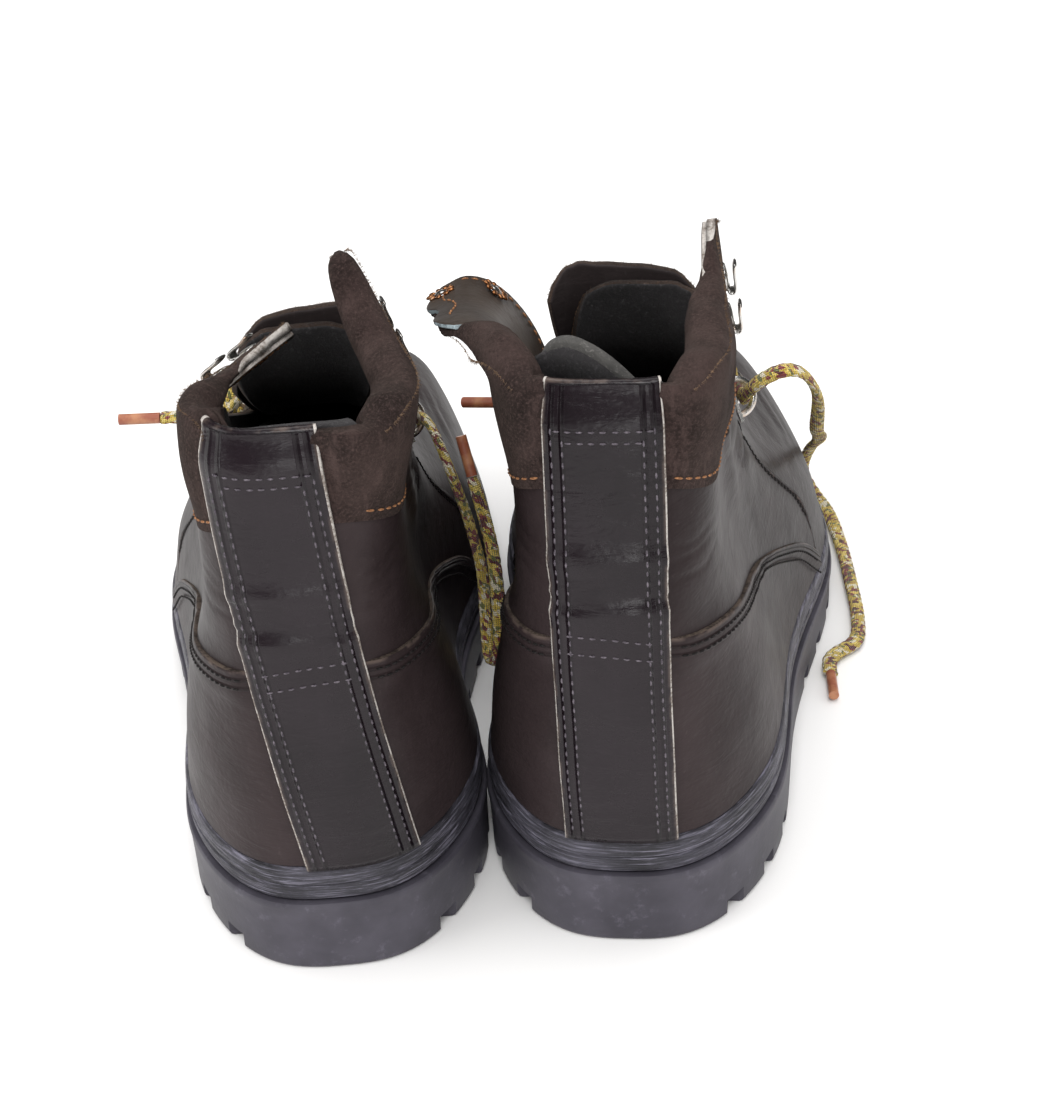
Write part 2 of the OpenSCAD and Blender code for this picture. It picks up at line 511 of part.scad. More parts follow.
left() outsole();  // left_outsole
left() midsole();  // left_midsole
left() insole_board();  // left_insole_board
left() shank();  // left_shank
left() footbed();  // left_footbed
left() vamp();  // left_vamp
left() toe_puff();  // left_toe_puff
left() quarter(1);  // left_quarter_outer
left() quarter(-1);  // left_quarter_inner
left() heel_foxing();  // left_heel_foxing
left() heel_counter();  // left_heel_counter
left() backstay(left_strip_low, left_strip_high);  // left_backstay
left() collar();  // left_collar
left() collar_foam();  // left_collar_foam
left() lining();  // left_lining
left() gusset();  // left_gusset
left() tongue(left_tongue_tilt);  // left_tongue
left() tongue_lining(left_tongue_tilt);  // left_tongue_lining
left() ear(1, left_lateral_fold);  // left_ear_outer
left() ear(-1, left_medial_fold);  // left_ear_inner
left() ear_facing(1, left_lateral_fold);  // left_ear_facing_outer
left() ear_facing(-1, left_medial_fold);  // left_ear_facing_inner
left() hooks(1, left_lateral_fold);  // left_hooks_outer
left() hooks(-1, left_medial_fold);  // left_hooks_inner
left() loops(1);  // left_loops_outer
left() loops(-1);  // left_loops_inner
left() lace(LEFT_OUT, LEFT_IN);  // left_lace
left() aglets(LEFT_OUT, LEFT_IN);  // left_aglets
right() outsole();  // right_outsole
right() midsole();  // right_midsole
right() insole_board();  // right_insole_board
right() shank();  // right_shank
right() footbed();  // right_footbed
right() vamp();  // right_vamp
right() toe_puff();  // right_toe_puff
right() quarter(1);  // right_quarter_outer
right() quarter(-1);  // right_quarter_inner
right() heel_foxing();  // right_heel_foxing
right() heel_counter();  // right_heel_counter
right() backstay(0, 0);  // right_backstay
right() collar();  // right_collar
right() collar_foam();  // right_collar_foam
right() lining();  // right_lining
right() gusset();  // right_gusset
right() tongue(0);  // right_tongue
right() tongue_lining(0);  // right_tongue_lining
right() ear(1, right_lateral_fold);  // right_ear_outer
right() ear(-1, right_medial_fold);  // right_ear_inner
right() ear_facing(1, right_lateral_fold);  // right_ear_facing_outer
right() ear_facing(-1, right_medial_fold);  // right_ear_facing_inner
right() hooks(1, right_lateral_fold);  // right_hooks_outer
right() hooks(-1, right_medial_fold);  // right_hooks_inner
right() loops(1);  // right_loops_outer
right() loops(-1);  // right_loops_inner
right() lace(RIGHT_OUT, RIGHT_IN);  // right_lace
right() aglets(RIGHT_OUT, RIGHT_IN);  // right_aglets
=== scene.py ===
"""The looks of a pair of worn leather hiking boots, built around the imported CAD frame.

Every boot is shaped in its own frame, in millimetres: x to the outer side of the foot, y from the toe back
to the heel, z up. Points are then turned, mirrored for the right boot, and moved to the row frame in metres.
"""

import json
import math

import bpy
import numpy as np
from mathutils import Matrix, Vector


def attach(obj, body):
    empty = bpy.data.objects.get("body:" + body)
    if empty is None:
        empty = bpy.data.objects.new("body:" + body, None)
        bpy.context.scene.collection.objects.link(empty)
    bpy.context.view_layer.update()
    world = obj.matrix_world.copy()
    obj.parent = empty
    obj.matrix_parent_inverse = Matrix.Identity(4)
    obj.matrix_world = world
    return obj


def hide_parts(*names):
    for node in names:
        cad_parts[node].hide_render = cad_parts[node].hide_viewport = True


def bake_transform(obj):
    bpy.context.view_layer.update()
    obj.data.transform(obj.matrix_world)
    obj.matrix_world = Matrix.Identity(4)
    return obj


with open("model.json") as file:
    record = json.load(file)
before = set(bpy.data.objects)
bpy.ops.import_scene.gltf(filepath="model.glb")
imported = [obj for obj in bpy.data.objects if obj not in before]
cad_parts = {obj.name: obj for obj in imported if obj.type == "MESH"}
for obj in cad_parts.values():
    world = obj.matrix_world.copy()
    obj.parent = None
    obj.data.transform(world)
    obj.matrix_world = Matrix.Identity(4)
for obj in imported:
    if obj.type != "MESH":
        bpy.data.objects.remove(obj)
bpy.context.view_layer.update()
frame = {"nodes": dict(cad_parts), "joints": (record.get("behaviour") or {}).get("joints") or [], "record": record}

MM = 0.001
rng = np.random.default_rng(7)

# Sizes of the sole and the layers, the same as in the CAD source
SOLE_LENGTH, BACK_HEIGHT, FEATHER = 300.0, 167.0, 34.0
LEATHER, STEP = 1.9, 2.3
LAYER1, LAYER2, LAYER3 = STEP, 2 * STEP, 3 * STEP
STRIP_WIDTH = 31.0
LIP_OUT = -0.6
MIDSOLE_HEEL, MIDSOLE_BALL = 11.0, 8.0
LACE_WIDTH, LACE_THICK, LACE_D = 4.8, 2.6, 3.6
# How much of a folded ear is bent: rolled over in a curl, or creased; and the rows of stitches beside a seam
CURL, CREASE = 17.0, 8.0
SEAM_ROWS = (2.8, 5.4)


# ---------------------------------------------------------------- curves and rings
def through(xs, ys, x):
    """Smooth curve through knots xs with values ys, one row a knot, read at x."""
    xs = np.array(xs, float)
    n = len(xs)
    i = np.clip(np.searchsorted(xs, x, side="right") - 1, 0, n - 2)
    low, high = np.maximum(np.arange(n) - 1, 0), np.minimum(np.arange(n) + 1, n - 1)
    run = (xs[high] - xs[low]).reshape((n,) + (1,) * (ys.ndim - 1))
    slopes = (ys[high] - ys[low]) / run
    pick = lambda rows, k: np.take_along_axis(rows, k[None], 0)[0]
    y0, y1, m0, m1 = pick(ys, i), pick(ys, i + 1), pick(slopes, i), pick(slopes, i + 1)
    h = xs[i + 1] - xs[i]
    u = (x - xs[i]) / h
    between = (2 * u - 3) * u * u * (y0 - y1) + y0
    inside = between + (u * u - 2 * u + 1) * u * h * m0 + (u - 1) * u * u * h * m1
    return np.where(u < 0, y0 + m0 * h * u, np.where(u > 1, y1 + m1 * h * (u - 1), inside))


def curve(knots, x):
    x = np.asarray(x, float)
    ys = np.array([k[1] for k in knots], float).reshape((-1,) + (1,) * x.ndim)
    return through([k[0] for k in knots], ys + np.zeros((1,) + x.shape), x)


def smooth(x, low, high):
    t = np.clip((x - low) / (high - low), 0, 1)
    return t * t * (3 - 2 * t)


def back_y(v):
    return curve([(0, 2.5), (0.2, -0.5), (0.5, -1), (0.75, 4), (1, 8)], v)


def front_y(v):
    return SOLE_LENGTH * curve([(0, 0.973), (0.1, 0.943), (0.2, 0.873), (0.3, 0.778), (0.4, 0.683),
                                (0.5, 0.593), (0.6, 0.507), (0.75, 0.417), (1, 0.387)], v)


def back_z(v):
    return FEATHER + (BACK_HEIGHT - FEATHER) * v


def front_z(v):
    return curve([(0, 31), (0.1, 49), (0.2, 61), (0.3, 70), (0.4, 80), (0.5, 92), (0.6, 106), (0.75, 131),
                  (1, 172)], v)


def ring_power(v):
    return curve([(0, 0.72), (0.4, 0.72), (0.6, 0.62), (0.75, 0.56), (1, 0.5)], v)


RING_STATIONS = (0.72, 0.26, -0.29, -0.8)
HEEL_W, WAIST_W, BALL_W = 83.0, 85.0, 108.0
RING_WIDTHS = (
    (HEEL_W / 2, [(0, 1), (0.2, 0.91), (0.4, 0.765), (0.5, 0.69), (0.75, 0.65), (1, 0.66)]),
    (WAIST_W / 2, [(0, 1), (0.2, 0.89), (0.4, 0.76), (0.5, 0.71), (0.75, 0.67), (1, 0.69)]),
    (BALL_W / 2, [(0, 1), (0.2, 0.86), (0.4, 0.67), (0.5, 0.61), (0.75, 0.565), (1, 0.61)]),
    (BALL_W / 2, [(0, 0.70), (0.2, 0.59), (0.4, 0.42), (0.5, 0.38), (0.6, 0.43), (0.75, 0.50), (1, 0.58)]),
)


def ring_width(v, c):
    power = ring_power(v)
    rows = [half * curve(knots, v) / (1 - s * s) ** (power / 2)
            for s, (half, knots) in zip(RING_STATIONS, RING_WIDTHS)]
    rows = np.stack([rows[0]] + rows + [rows[-1]])
    return through([-1] + [-s for s in RING_STATIONS] + [1], rows, -c)


def foot_bend(v, q):
    bend = curve([(0, 0), (0.2, 0), (0.4, 3.5), (0.65, 1), (0.9, -6), (1, -11)], q)
    return np.maximum(0, 1 - v / 0.55) * bend


def ball_dip(v, q):
    return 10 * np.maximum(0, 1 - v / 0.6) * np.sin(math.pi * q ** 1.9) ** 2


def skin(v, a, sag=(0, 0, 0)):
    """The upper's outer face: level v is 0 at the sole and 1 at the topline, angle a is 0 at the back."""
    v, a = np.broadcast_arrays(np.asarray(v, float), np.asarray(a, float))
    c, s = np.cos(np.radians(a)), np.sin(np.radians(a))
    q = (1 - c) / 2
    x = foot_bend(v, q) + np.sign(s) * np.abs(s) ** ring_power(v) * ring_width(v, c)
    y = -(back_y(v) + (front_y(v) - back_y(v)) * q)
    z = back_z(v) * (1 - q) + front_z(v) * q - ball_dip(v, q)
    return np.stack([x, y, z], -1) + np.array(sag, float) * (np.maximum(0, (v - 0.3) / 0.7) ** 2)[..., None]


def unit(p):
    return p / np.maximum(np.linalg.norm(p, axis=-1, keepdims=True), 1e-12)


def skin_normal(v, a, sag=(0, 0, 0)):
    v, a = np.broadcast_arrays(np.asarray(v, float), np.asarray(a, float))
    s = np.sin(np.radians(a))
    b = np.where(np.abs(s) < 0.012, a + np.where(s < 0, -0.7, 0.7), a)
    across = skin(v, b + 0.6, sag) - skin(v, b - 0.6, sag)
    upward = skin(v + 0.004, a, sag) - skin(v - 0.004, a, sag)
    n = unit(np.cross(upward, across))
    return unit(n * np.stack([np.ones_like(v), np.ones_like(v), np.minimum(1, v / 0.15)], -1))


# ---------------------------------------------------------------- the two boots
FOLD_BACK, FOLD_FRONT = 64.0, 128.0
FLAP_LIFT = 0.27


class Boot:
    """One boot's place in the row frame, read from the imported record, and the way its soft top lies."""

    def __init__(self, name, mirror, sag, folds):
        joints = {j["name"]: j for j in frame["joints"]}
        mounts = {m["name"]: m for m in frame["record"]["mounts"]}
        rest = mounts["ground_rest" if name == "left" else "ground_rest_right"]["pos_m"]
        axis = joints[f"{name}_tongue_bend"]["axis"]
        self.name, self.mirror, self.sag, self.folds = name, mirror, sag, folds
        angle = math.atan2(axis[1], axis[0])
        c, s = math.cos(angle), math.sin(angle)
        self.turn = np.array([[c, -s, 0], [s, c, 0], [0, 0, 1]])
        self.origin = np.array(rest) / MM - self.turn @ np.array([0, -66.0, 0])
        self.body = f"{name}_boot"

    def place(self, points):
        """Boot frame in mm to the row frame in metres."""
        p = np.asarray(points, float) * np.array([self.mirror, 1, 1])
        return (p @ self.turn.T + self.origin) * MM

    def row(self, points, outward):
        """Points and outward normals in the row frame, in mm."""
        place, tip = self.place(points) / MM, self.place(points + unit(outward)) / MM
        return place, unit(tip - place)

    def skin(self, v, a):
        return skin(v, a, self.sag)

    def deep(self, v, a, d):
        return skin(v, a, self.sag) - np.asarray(d, float)[..., None] * skin_normal(v, a, self.sag)

    def fold_frame(self, side):
        """Start of the ear's fold line, its direction, the outward normal and the upward direction."""
        level = 0.895 if self.folds.get(side, 0) > 100 else 0.945
        p, q = self.skin(level, side * FOLD_BACK), self.skin(0.70, side * FOLD_FRONT)
        e = unit(q - p)
        n = unit(np.cross(e, [0, 0, 1]) * -side)
        return p, e, n, np.cross(e, n) * side

    def point(self, v, a, d, side=0):
        """A point d deep, with the ear on that side folded the way it lies."""
        p = self.deep(v, a, d)
        fold = self.folds.get(side, 0)
        if fold == 0:
            return p
        start, e, n, rise = self.fold_frame(side)
        spread = CURL if abs(fold) > 100 else CREASE
        o = p - start
        h, w, s = o @ rise, o @ n, o @ e
        hc = np.clip(h, 0, spread)
        g = math.radians(fold) * hc / spread
        r = spread / math.radians(fold)
        up = r * np.sin(g) + (h - hc) * np.cos(g) - w * np.sin(g)
        out = r * (1 - np.cos(g)) + (h - hc) * np.sin(g) + w * np.cos(g)
        moved = start + s[..., None] * e + up[..., None] * rise + out[..., None] * n
        if fold > 100:
            moved[..., 2] += FLAP_LIFT * np.maximum(0, s + 6) * smooth(h, 0, 22)
        return np.where((h > 0)[..., None], moved, p)

    def mm_per_level(self, v, a):
        return np.linalg.norm(self.skin(v + 0.01, a) - self.skin(v - 0.01, a), axis=-1) / 0.02

    def below(self, v, a, mm):
        """The level that lies mm below level v."""
        return v - mm / self.mm_per_level(v, a)

    def ear(self, side):
        return f"{self.name}_{side_name(side)}_ear"


LEFT = Boot("left", 1, (-4, 6, -3), {1: -62, -1: -33})
RIGHT = Boot("right", -1, (0, 0, 0), {1: -13, -1: 106})
BOOTS = (LEFT, RIGHT)


# ---------------------------------------------------------------- seams and edges, as levels at a ring angle
def topline(a):
    knots = [(0, 1), (30, 0.985), (60, 0.965), (85, 0.99), (105, 1.035), (122, 1.03), (135, 0.96)]
    return curve(knots, np.abs(a))


def counter_seam(a):
    return curve([(0, 0.5), (25, 0.47), (52, 0.42), (75, 0.30), (86, 0.16), (95, 0.03)], np.abs(a))


def collar_seam(a):
    return curve([(0, 0.80), (20, 0.785), (50, 0.735), (80, 0.70), (110, 0.67), (127, 0.668)], np.abs(a))


def vamp_seam(a):
    return curve([(95, 0.03), (98, 0.17), (103, 0.33), (111, 0.48), (120, 0.60), (127, 0.655)], np.abs(a))


def throat_edge(a):
    return curve([(127, 0.655), (133, 0.63), (148, 0.54), (162, 0.49), (180, 0.475)], np.abs(a))


def fold_line(a):
    return 0.945 - 0.245 * (np.abs(a) - FOLD_BACK) / (FOLD_FRONT - FOLD_BACK)


def wall_top(a):
    b = np.abs(a)
    return np.where(b < FOLD_BACK, np.minimum(topline(a), fold_line(a) + 0.03), fold_line(a))


STRIP_SHIFT = {"left": (-9.0, 10.0), "right": (0.0, 0.0)}


def strip_gap(boot, v, a):
    """Distance in mm beside the backstay strip's edge, below 0 under the strip."""
    low, high = STRIP_SHIFT[boot.name]
    return np.abs(skin(v, a)[..., 0] - low - (high - low) * v) - STRIP_WIDTH / 2


def off_strip(boot, v, a):
    """0 under the backstay strip, rising to 1 beside it."""
    return np.where(np.abs(a) > 100, 1.0, smooth(strip_gap(boot, v, a), -0.5, 6.0))


def under_strip(boot, v, a):
    """1 well inside the strip's width, 0 beside it."""
    return np.where(np.abs(a) > 100, 0.0, smooth(-strip_gap(boot, v, a), 1.0, 3.0))


# ---------------------------------------------------------------- mesh building
def run_lengths(path):
    """Distance along a path at each of its points."""
    return np.concatenate([[0], np.cumsum(np.linalg.norm(np.diff(path, axis=0), axis=1))])


def along(at, s, path):
    """The path's values at a distance, where s holds the distances of its points."""
    return np.stack([np.interp(at, s, column) for column in path.T], -1)


def side_name(side):
    return "outer" if side > 0 else "inner"


def side_angles(a0, a1, step, level, side):
    """Ring angles on one side of the boot, always in rising order."""
    angles = ring_angles(a0, a1, step, level) * side
    return angles if side > 0 else angles[::-1]


def front_angles(a0, step, level):
    """Ring angles from a0 round the toe to the same angle on the other side."""
    half = ring_angles(a0, 180, step, level)
    return np.concatenate([half, 360 - half[-2::-1]])


def ring_faces(rings, around, start=0):
    """Quads between rings of points, and a cap at each end."""
    faces = []
    for i in range(rings - 1):
        for k in range(around):
            m = (k + 1) % around
            low, high = start + i * around, start + (i + 1) * around
            faces.append((low + k, low + m, high + m, high + k))
    last = start + (rings - 1) * around
    faces.append(tuple(range(start + around - 1, start - 1, -1)))
    faces.append(tuple(range(last, last + around)))
    return faces


def turned(faces, flip):
    return [f[::-1] for f in faces] if flip else faces


def rounded(gap, radius):
    """How far an edge rounded to that radius falls back at a gap from its rim."""
    return radius - np.sqrt(np.maximum(radius ** 2 - (radius - np.minimum(gap, radius)) ** 2, 0))


def spaced(total, step):
    """Distances from 0 to total, tight at both ends so that a cut edge can be rounded."""
    ends = np.array([0, 0.25, 0.6, 1.05])
    inner = np.linspace(1.6, total - 1.6, max(2, int(round(total / step))))
    return np.concatenate([ends, inner, total - ends[::-1]])


def ring_angles(a0, a1, step, level=0.3):
    """Ring angles from a0 to a1 at even distances along the ring at that level."""
    fine = np.linspace(a0, a1, 1600)
    run = run_lengths(skin(np.full_like(fine, level), fine))
    return np.interp(spaced(run[-1], step), run, fine)


def grid_faces(nc, nr, start, flip):
    i, j = np.meshgrid(np.arange(nc - 1), np.arange(nr - 1), indexing="ij")
    p = (start + i * nr + j).ravel()
    quads = np.stack([p, p + 1, p + nr + 1, p + nr], -1)
    return quads if flip else quads[:, ::-1]


def rim_loop(nc, nr):
    first = np.arange(nc) * nr
    last = (nc - 1) * nr + np.arange(1, nr)
    top = np.arange(nc - 2, -1, -1) * nr + nr - 1
    return np.concatenate([first, last, top, np.arange(nr - 2, 0, -1)])


def closed_grid(outer, inner, flip):
    """Points and faces of a thick sheet from its two grids, and the loop of grid points round its edge."""
    nc, nr = outer.shape[:2]
    m = nc * nr
    loop = rim_loop(nc, nr)
    follow = np.roll(loop, -1)
    walls = np.stack([follow, loop, loop + m, follow + m], -1)
    faces = np.concatenate([grid_faces(nc, nr, 0, False), grid_faces(nc, nr, m, True), walls])
    points = np.concatenate([outer.reshape(-1, 3), inner.reshape(-1, 3)])
    return points, faces[:, ::-1] if flip else faces, loop


def make_mesh(name, points, faces, materials, face_slots=None, smooth_faces=True):
    """A mesh object from points already in the row frame."""
    mesh = bpy.data.meshes.new(name)
    mesh.from_pydata([tuple(p) for p in points], [], [tuple(int(i) for i in f) for f in faces])
    for material in materials:
        mesh.materials.append(material)
    if face_slots is not None:
        mesh.polygons.foreach_set("material_index", np.asarray(face_slots, np.int32))
    mesh.polygons.foreach_set("use_smooth", np.full(len(mesh.polygons), smooth_faces))
    mesh.update()
    piece = bpy.data.objects.new(name, mesh)
    bpy.context.scene.collection.objects.link(piece)
    return piece


def attribute(piece, name, values):
    layer = piece.data.attributes.new(name, "FLOAT", "POINT")
    layer.data.foreach_set("value", np.asarray(values, np.float32))


def edge_distances(points):
    """Distance in mm of each grid point from the grid's four edges: start, end, low, high."""
    def run(axis):
        d = np.linalg.norm(np.diff(points, axis=axis), axis=-1)
        pad = [(1, 0) if k == axis else (0, 0) for k in (0, 1)]
        total = np.cumsum(np.pad(d, pad), axis=axis)
        return total, np.take(total, [-1], axis=axis) - total
    start, end = run(0)
    low, high = run(1)
    return start, end, low, high


class Sheet:
    """A leather or felt piece between two depths, with rounded cut edges and a relief on its outer face."""

    def __init__(self, boot, angles, lo, hi, step, d_out, thick, relief=None, side=0, edges="selh", edge=0.8,
                 lap=0.0, flat_inside=False):
        self.boot, self.side, self.d_out, self.relief, self.lap = boot, side, d_out, relief, lap
        lo, hi = np.broadcast_to(lo, angles.shape), np.broadcast_to(hi, angles.shape)
        height = np.linalg.norm(boot.skin(hi, angles) - boot.skin(lo, angles), axis=-1).max()
        t = spaced(height, step) / height
        self.v = lo[:, None] + (hi - lo)[:, None] * t[None, :]
        self.a = np.broadcast_to(angles[:, None], self.v.shape)
        base = boot.point(self.v, self.a, np.full(self.v.shape, float(d_out)), side)
        distances = dict(zip("selh", edge_distances(base)))
        every = np.minimum.reduce(list(distances.values()))
        self.near = np.minimum.reduce([distances[k] for k in edges]) if edges else np.full(every.shape, 99.0)
        radius = np.broadcast_to(np.asarray(edge, float), angles.shape)[:, None] * np.ones_like(self.v)
        roll = rounded(every, radius)
        self.outer = boot.point(self.v, self.a, d_out + roll - self.height(self.v, self.a, self.near), side)
        under = 0.0 if flat_inside else np.minimum(0, self.height(self.v, self.a, self.near))
        inner_depth = d_out + thick - np.minimum(roll * 0.5, thick * 0.3) - under
        self.inner = boot.point(self.v, self.a, inner_depth, side)

    def height(self, v, a, near):
        """Outward relief in mm at a point that lies near mm from the piece's sewn edge."""
        h = self.relief(v, a) if self.relief else np.zeros(np.shape(v))
        h = h + self.lap * (1 - smooth(near, 6, 13))
        return h * off_strip(self.boot, v, a)

    def top(self, v, a, near=3.0):
        """The outer face at a point, for stitches."""
        v, a = np.broadcast_arrays(np.asarray(v, float), np.asarray(a, float))
        return self.boot.point(v, a, self.d_out - self.height(v, a, np.full(v.shape, float(near))), self.side)

    def build(self, name, materials, rim_width=1, plain=None):
        """materials: outer face, rim, inner face; plain marks grid points whose rim keeps the outer one."""
        nc, nr = self.v.shape
        points, faces, loop = closed_grid(self.outer, self.inner, self.boot.mirror < 0)
        i, j = np.meshgrid(np.arange(nc - 1), np.arange(nr - 1), indexing="ij")
        border = (np.minimum(i, nc - 2 - i) < rim_width) | (np.minimum(j, nr - 2 - j) < rim_width)
        edge_slots = np.full(len(loop), 1) if plain is None else np.where(plain.ravel()[loop], 0, 1)
        slots = np.concatenate([np.where(border.ravel(), 1, 0), np.full(border.size, 2), edge_slots])
        piece = make_mesh(f"{self.boot.name}_{name}", self.boot.place(points), faces, materials, slots)
        near = self.near.ravel()
        attribute(piece, "edge_mm", np.concatenate([near, near]))
        return piece


# ---------------------------------------------------------------- materials
class Shader:
    """A procedural material, built from a few texture layers."""

    def __init__(self, name):
        self.material = bpy.data.materials.new(name)
        self.material.use_nodes = True
        self.tree = self.material.node_tree
        self.tree.nodes.clear()
        self.coords = self.node("ShaderNodeTexCoord").outputs["Object"]

    def node(self, kind, settings=None, inputs=None):
        made = self.tree.nodes.new(kind)
        for key, value in (settings or {}).items():
            setattr(made, key, value)
        for key, value in (inputs or {}).items():
            if isinstance(value, bpy.types.NodeSocket):
                self.tree.links.new(value, made.inputs[key])
            else:
                made.inputs[key].default_value = value
        return made

    def stretched(self, scale, vector=None):
        """Coordinates scaled by a different amount along each axis."""
        inputs = {"Vector": vector or self.coords, "Scale": scale}
        return self.node("ShaderNodeMapping", None, inputs).outputs["Vector"]

    def noise(self, scale, detail=4.0, rough=0.55, vector=None, distortion=0.0):
        inputs = {"Vector": vector or self.coords, "Scale": scale, "Detail": detail, "Roughness": rough,
                  "Distortion": distortion}
        return self.node("ShaderNodeTexNoise", None, inputs).outputs["Fac"]

    def math(self, operation, a, b=0.0):
        return self.node("ShaderNodeMath", {"operation": operation}, {0: a, 1: b}).outputs[0]

    def times(self, a, b):
        return self.math("MULTIPLY", a, b)

    def plus(self, a, b):
        return self.math("ADD", a, b)

    def band(self, x, low, high):
        """0 below low, 1 above high, smooth between; low may be the larger one."""
        inputs = {"Value": x, "From Min": low, "From Max": high}
        return self.node("ShaderNodeMapRange", {"interpolation_type": "SMOOTHSTEP"}, inputs).outputs["Result"]

    def line(self, x, at, width):
        """1 on the line x = at, falling to 0 at the given distance."""
        return self.band(self.math("ABSOLUTE", self.math("SUBTRACT", x, at)), width, 0.0)

    def value(self, name):
        return self.node("ShaderNodeAttribute", {"attribute_name": name}).outputs["Fac"]

    def mix(self, factor, a, b):
        a, b = [(*c, 1.0) if isinstance(c, tuple) else c for c in (a, b)]
        return self.node("ShaderNodeMix", {"data_type": "RGBA"}, {0: factor, 6: a, 7: b}).outputs[2]

    def steps(self, factor, stops):
        """Bands of plain colour, each from its place up to the next."""
        made = self.node("ShaderNodeValToRGB", None, {"Fac": factor})
        made.color_ramp.interpolation = "CONSTANT"
        points = made.color_ramp.elements
        while len(points) < len(stops):
            points.new(0.5)
        for point, (place, colour) in zip(points, stops):
            point.position = place
            point.color = (*colour, 1.0)
        return made.outputs["Color"]

    def bump(self, height, mm, normal=None):
        inputs = {"Height": height, "Distance": mm * MM, "Strength": 1.0}
        if normal is not None:
            inputs["Normal"] = normal
        return self.node("ShaderNodeBump", None, inputs).outputs["Normal"]

    def surface(self, **inputs):
        named = {key.replace("_", " "): value for key, value in inputs.items()}
        if "Sheen Tint" in named:
            named["Sheen Tint"] = (*named["Sheen Tint"], 1.0)
        shader = self.node("ShaderNodeBsdfPrincipled", None, named)
        out = self.node("ShaderNodeOutputMaterial")
        self.tree.links.new(shader.outputs["BSDF"], out.inputs["Surface"])
        return self.material


def scaled(colour, k):
    return tuple(min(1, k * c) for c in colour)


def leather_material(name, dark, light, gloss=0.42, grain=0.10, seams=True, shine=0.09):
    """Worn smooth leather: fine grain, lighter brushed streaks as a painted sheen, scuffs, and grooves where
    stitch rows pull it in, darkened with painted shade.
    """
    s = Shader(name)
    broad = s.noise(14, 5, 0.6)
    fine = s.noise(420, 5, 0.65)
    brushed = s.noise(60, 4, 0.7, s.stretched((9, 9, 1.2)))
    colour = s.mix(s.band(broad, 0.35, 0.7), dark, light)
    # Lighter streaks along the brushing: a painted sheen in the base colour
    colour = s.mix(s.times(s.band(brushed, 0.5, 0.75), 0.10), colour, scaled(light, 1.7))
    specks = s.band(s.noise(900, 2, 0.5), 0.62, 0.8)
    colour = s.mix(s.times(specks, 0.25), colour, scaled(light, 2.2))
    edge = s.value("edge_mm")
    if seams:
        worn = s.times(s.band(edge, 1.6, 0.4), s.band(s.noise(160, 4), 0.40, 0.62))
        colour = s.mix(s.times(worn, 0.5), colour, (0.16, 0.12, 0.10))
        # Darker along the stitch rows: painted shade in the grooves they pull in; the same lines also drive the
        # groove bump below
        trench = s.plus(*[s.line(edge, mm, 0.9) for mm in SEAM_ROWS])
        colour = s.mix(s.times(trench, 0.35), colour, scaled(dark, 0.4))
    pebble = s.node("ShaderNodeTexVoronoi", {"feature": "SMOOTH_F1"},
                    {"Vector": s.coords, "Scale": 620}).outputs["Distance"]
    height = s.plus(s.times(pebble, 0.6), s.times(fine, 0.5))
    normal = s.bump(height, grain)
    wrinkle = s.noise(70, 5, 0.6, s.stretched((1, 1, 3.2)), 0.6)
    normal = s.bump(wrinkle, 0.35, normal)
    if seams:
        normal = s.bump(s.times(trench, -1.0), 0.5, normal)
    rough = s.plus(s.times(s.noise(90, 5, 0.7), 0.22), gloss - 0.1)
    return s.surface(Base_Color=colour, Roughness=rough, Normal=normal, Specular_IOR_Level=shine)


def suede_material(name, dark, light):
    """Napped suede: mottled, with brushed streaks and a soft sheen."""
    s = Shader(name)
    nap = s.noise(1300, 4, 0.75)
    patch = s.noise(45, 5, 0.65, None, 0.4)
    streak = s.noise(170, 4, 0.7, s.stretched((1, 1, 0.35)))
    colour = s.mix(s.band(patch, 0.35, 0.68), dark, light)
    colour = s.mix(s.times(s.band(streak, 0.52, 0.72), 0.55), colour, scaled(light, 1.8))
    colour = s.mix(s.band(nap, 0.45, 0.75), colour, scaled(light, 1.5))
    colour = s.mix(s.band(nap, 0.42, 0.25), colour, scaled(dark, 0.35))
    height = s.plus(nap, s.times(streak, 0.7))
    normal = s.bump(height, 0.55)
    normal = s.bump(patch, 0.8, normal)
    return s.surface(Base_Color=colour, Roughness=0.95, Normal=normal, Specular_IOR_Level=0.08,
                     Sheen_Weight=0.06, Sheen_Roughness=0.6, Sheen_Tint=(0.75, 0.6, 0.5))


def raw_edge_material(name, pale, dark):
    """The fibrous cut edge of a leather layer."""
    s = Shader(name)
    fibre = s.noise(900, 4, 0.8, s.stretched((1, 1, 1.5)))
    dirt = s.noise(110, 4, 0.6)
    pallor = s.plus(s.times(fibre, 0.55), s.times(dirt, 0.5))
    colour = s.mix(s.band(pallor, 0.42, 0.60), dark, pale)
    return s.surface(Base_Color=colour, Roughness=0.9, Normal=s.bump(fibre, 0.35), Specular_IOR_Level=0.2)


def felt_material(name, dark, light, scale=900):
    """Brushed felt or fleece lining."""
    s = Shader(name)
    fluff = s.noise(scale, 5, 0.8, None, 0.8)
    patch = s.noise(35, 4, 0.6)
    colour = s.mix(s.band(patch, 0.3, 0.7), dark, light)
    colour = s.mix(s.band(fluff, 0.52, 0.72), colour, scaled(light, 1.9))
    normal = s.bump(fluff, 0.8)
    return s.surface(Base_Color=colour, Roughness=0.97, Normal=normal, Specular_IOR_Level=0.08,
                     Sheen_Weight=0.08, Sheen_Roughness=0.5)


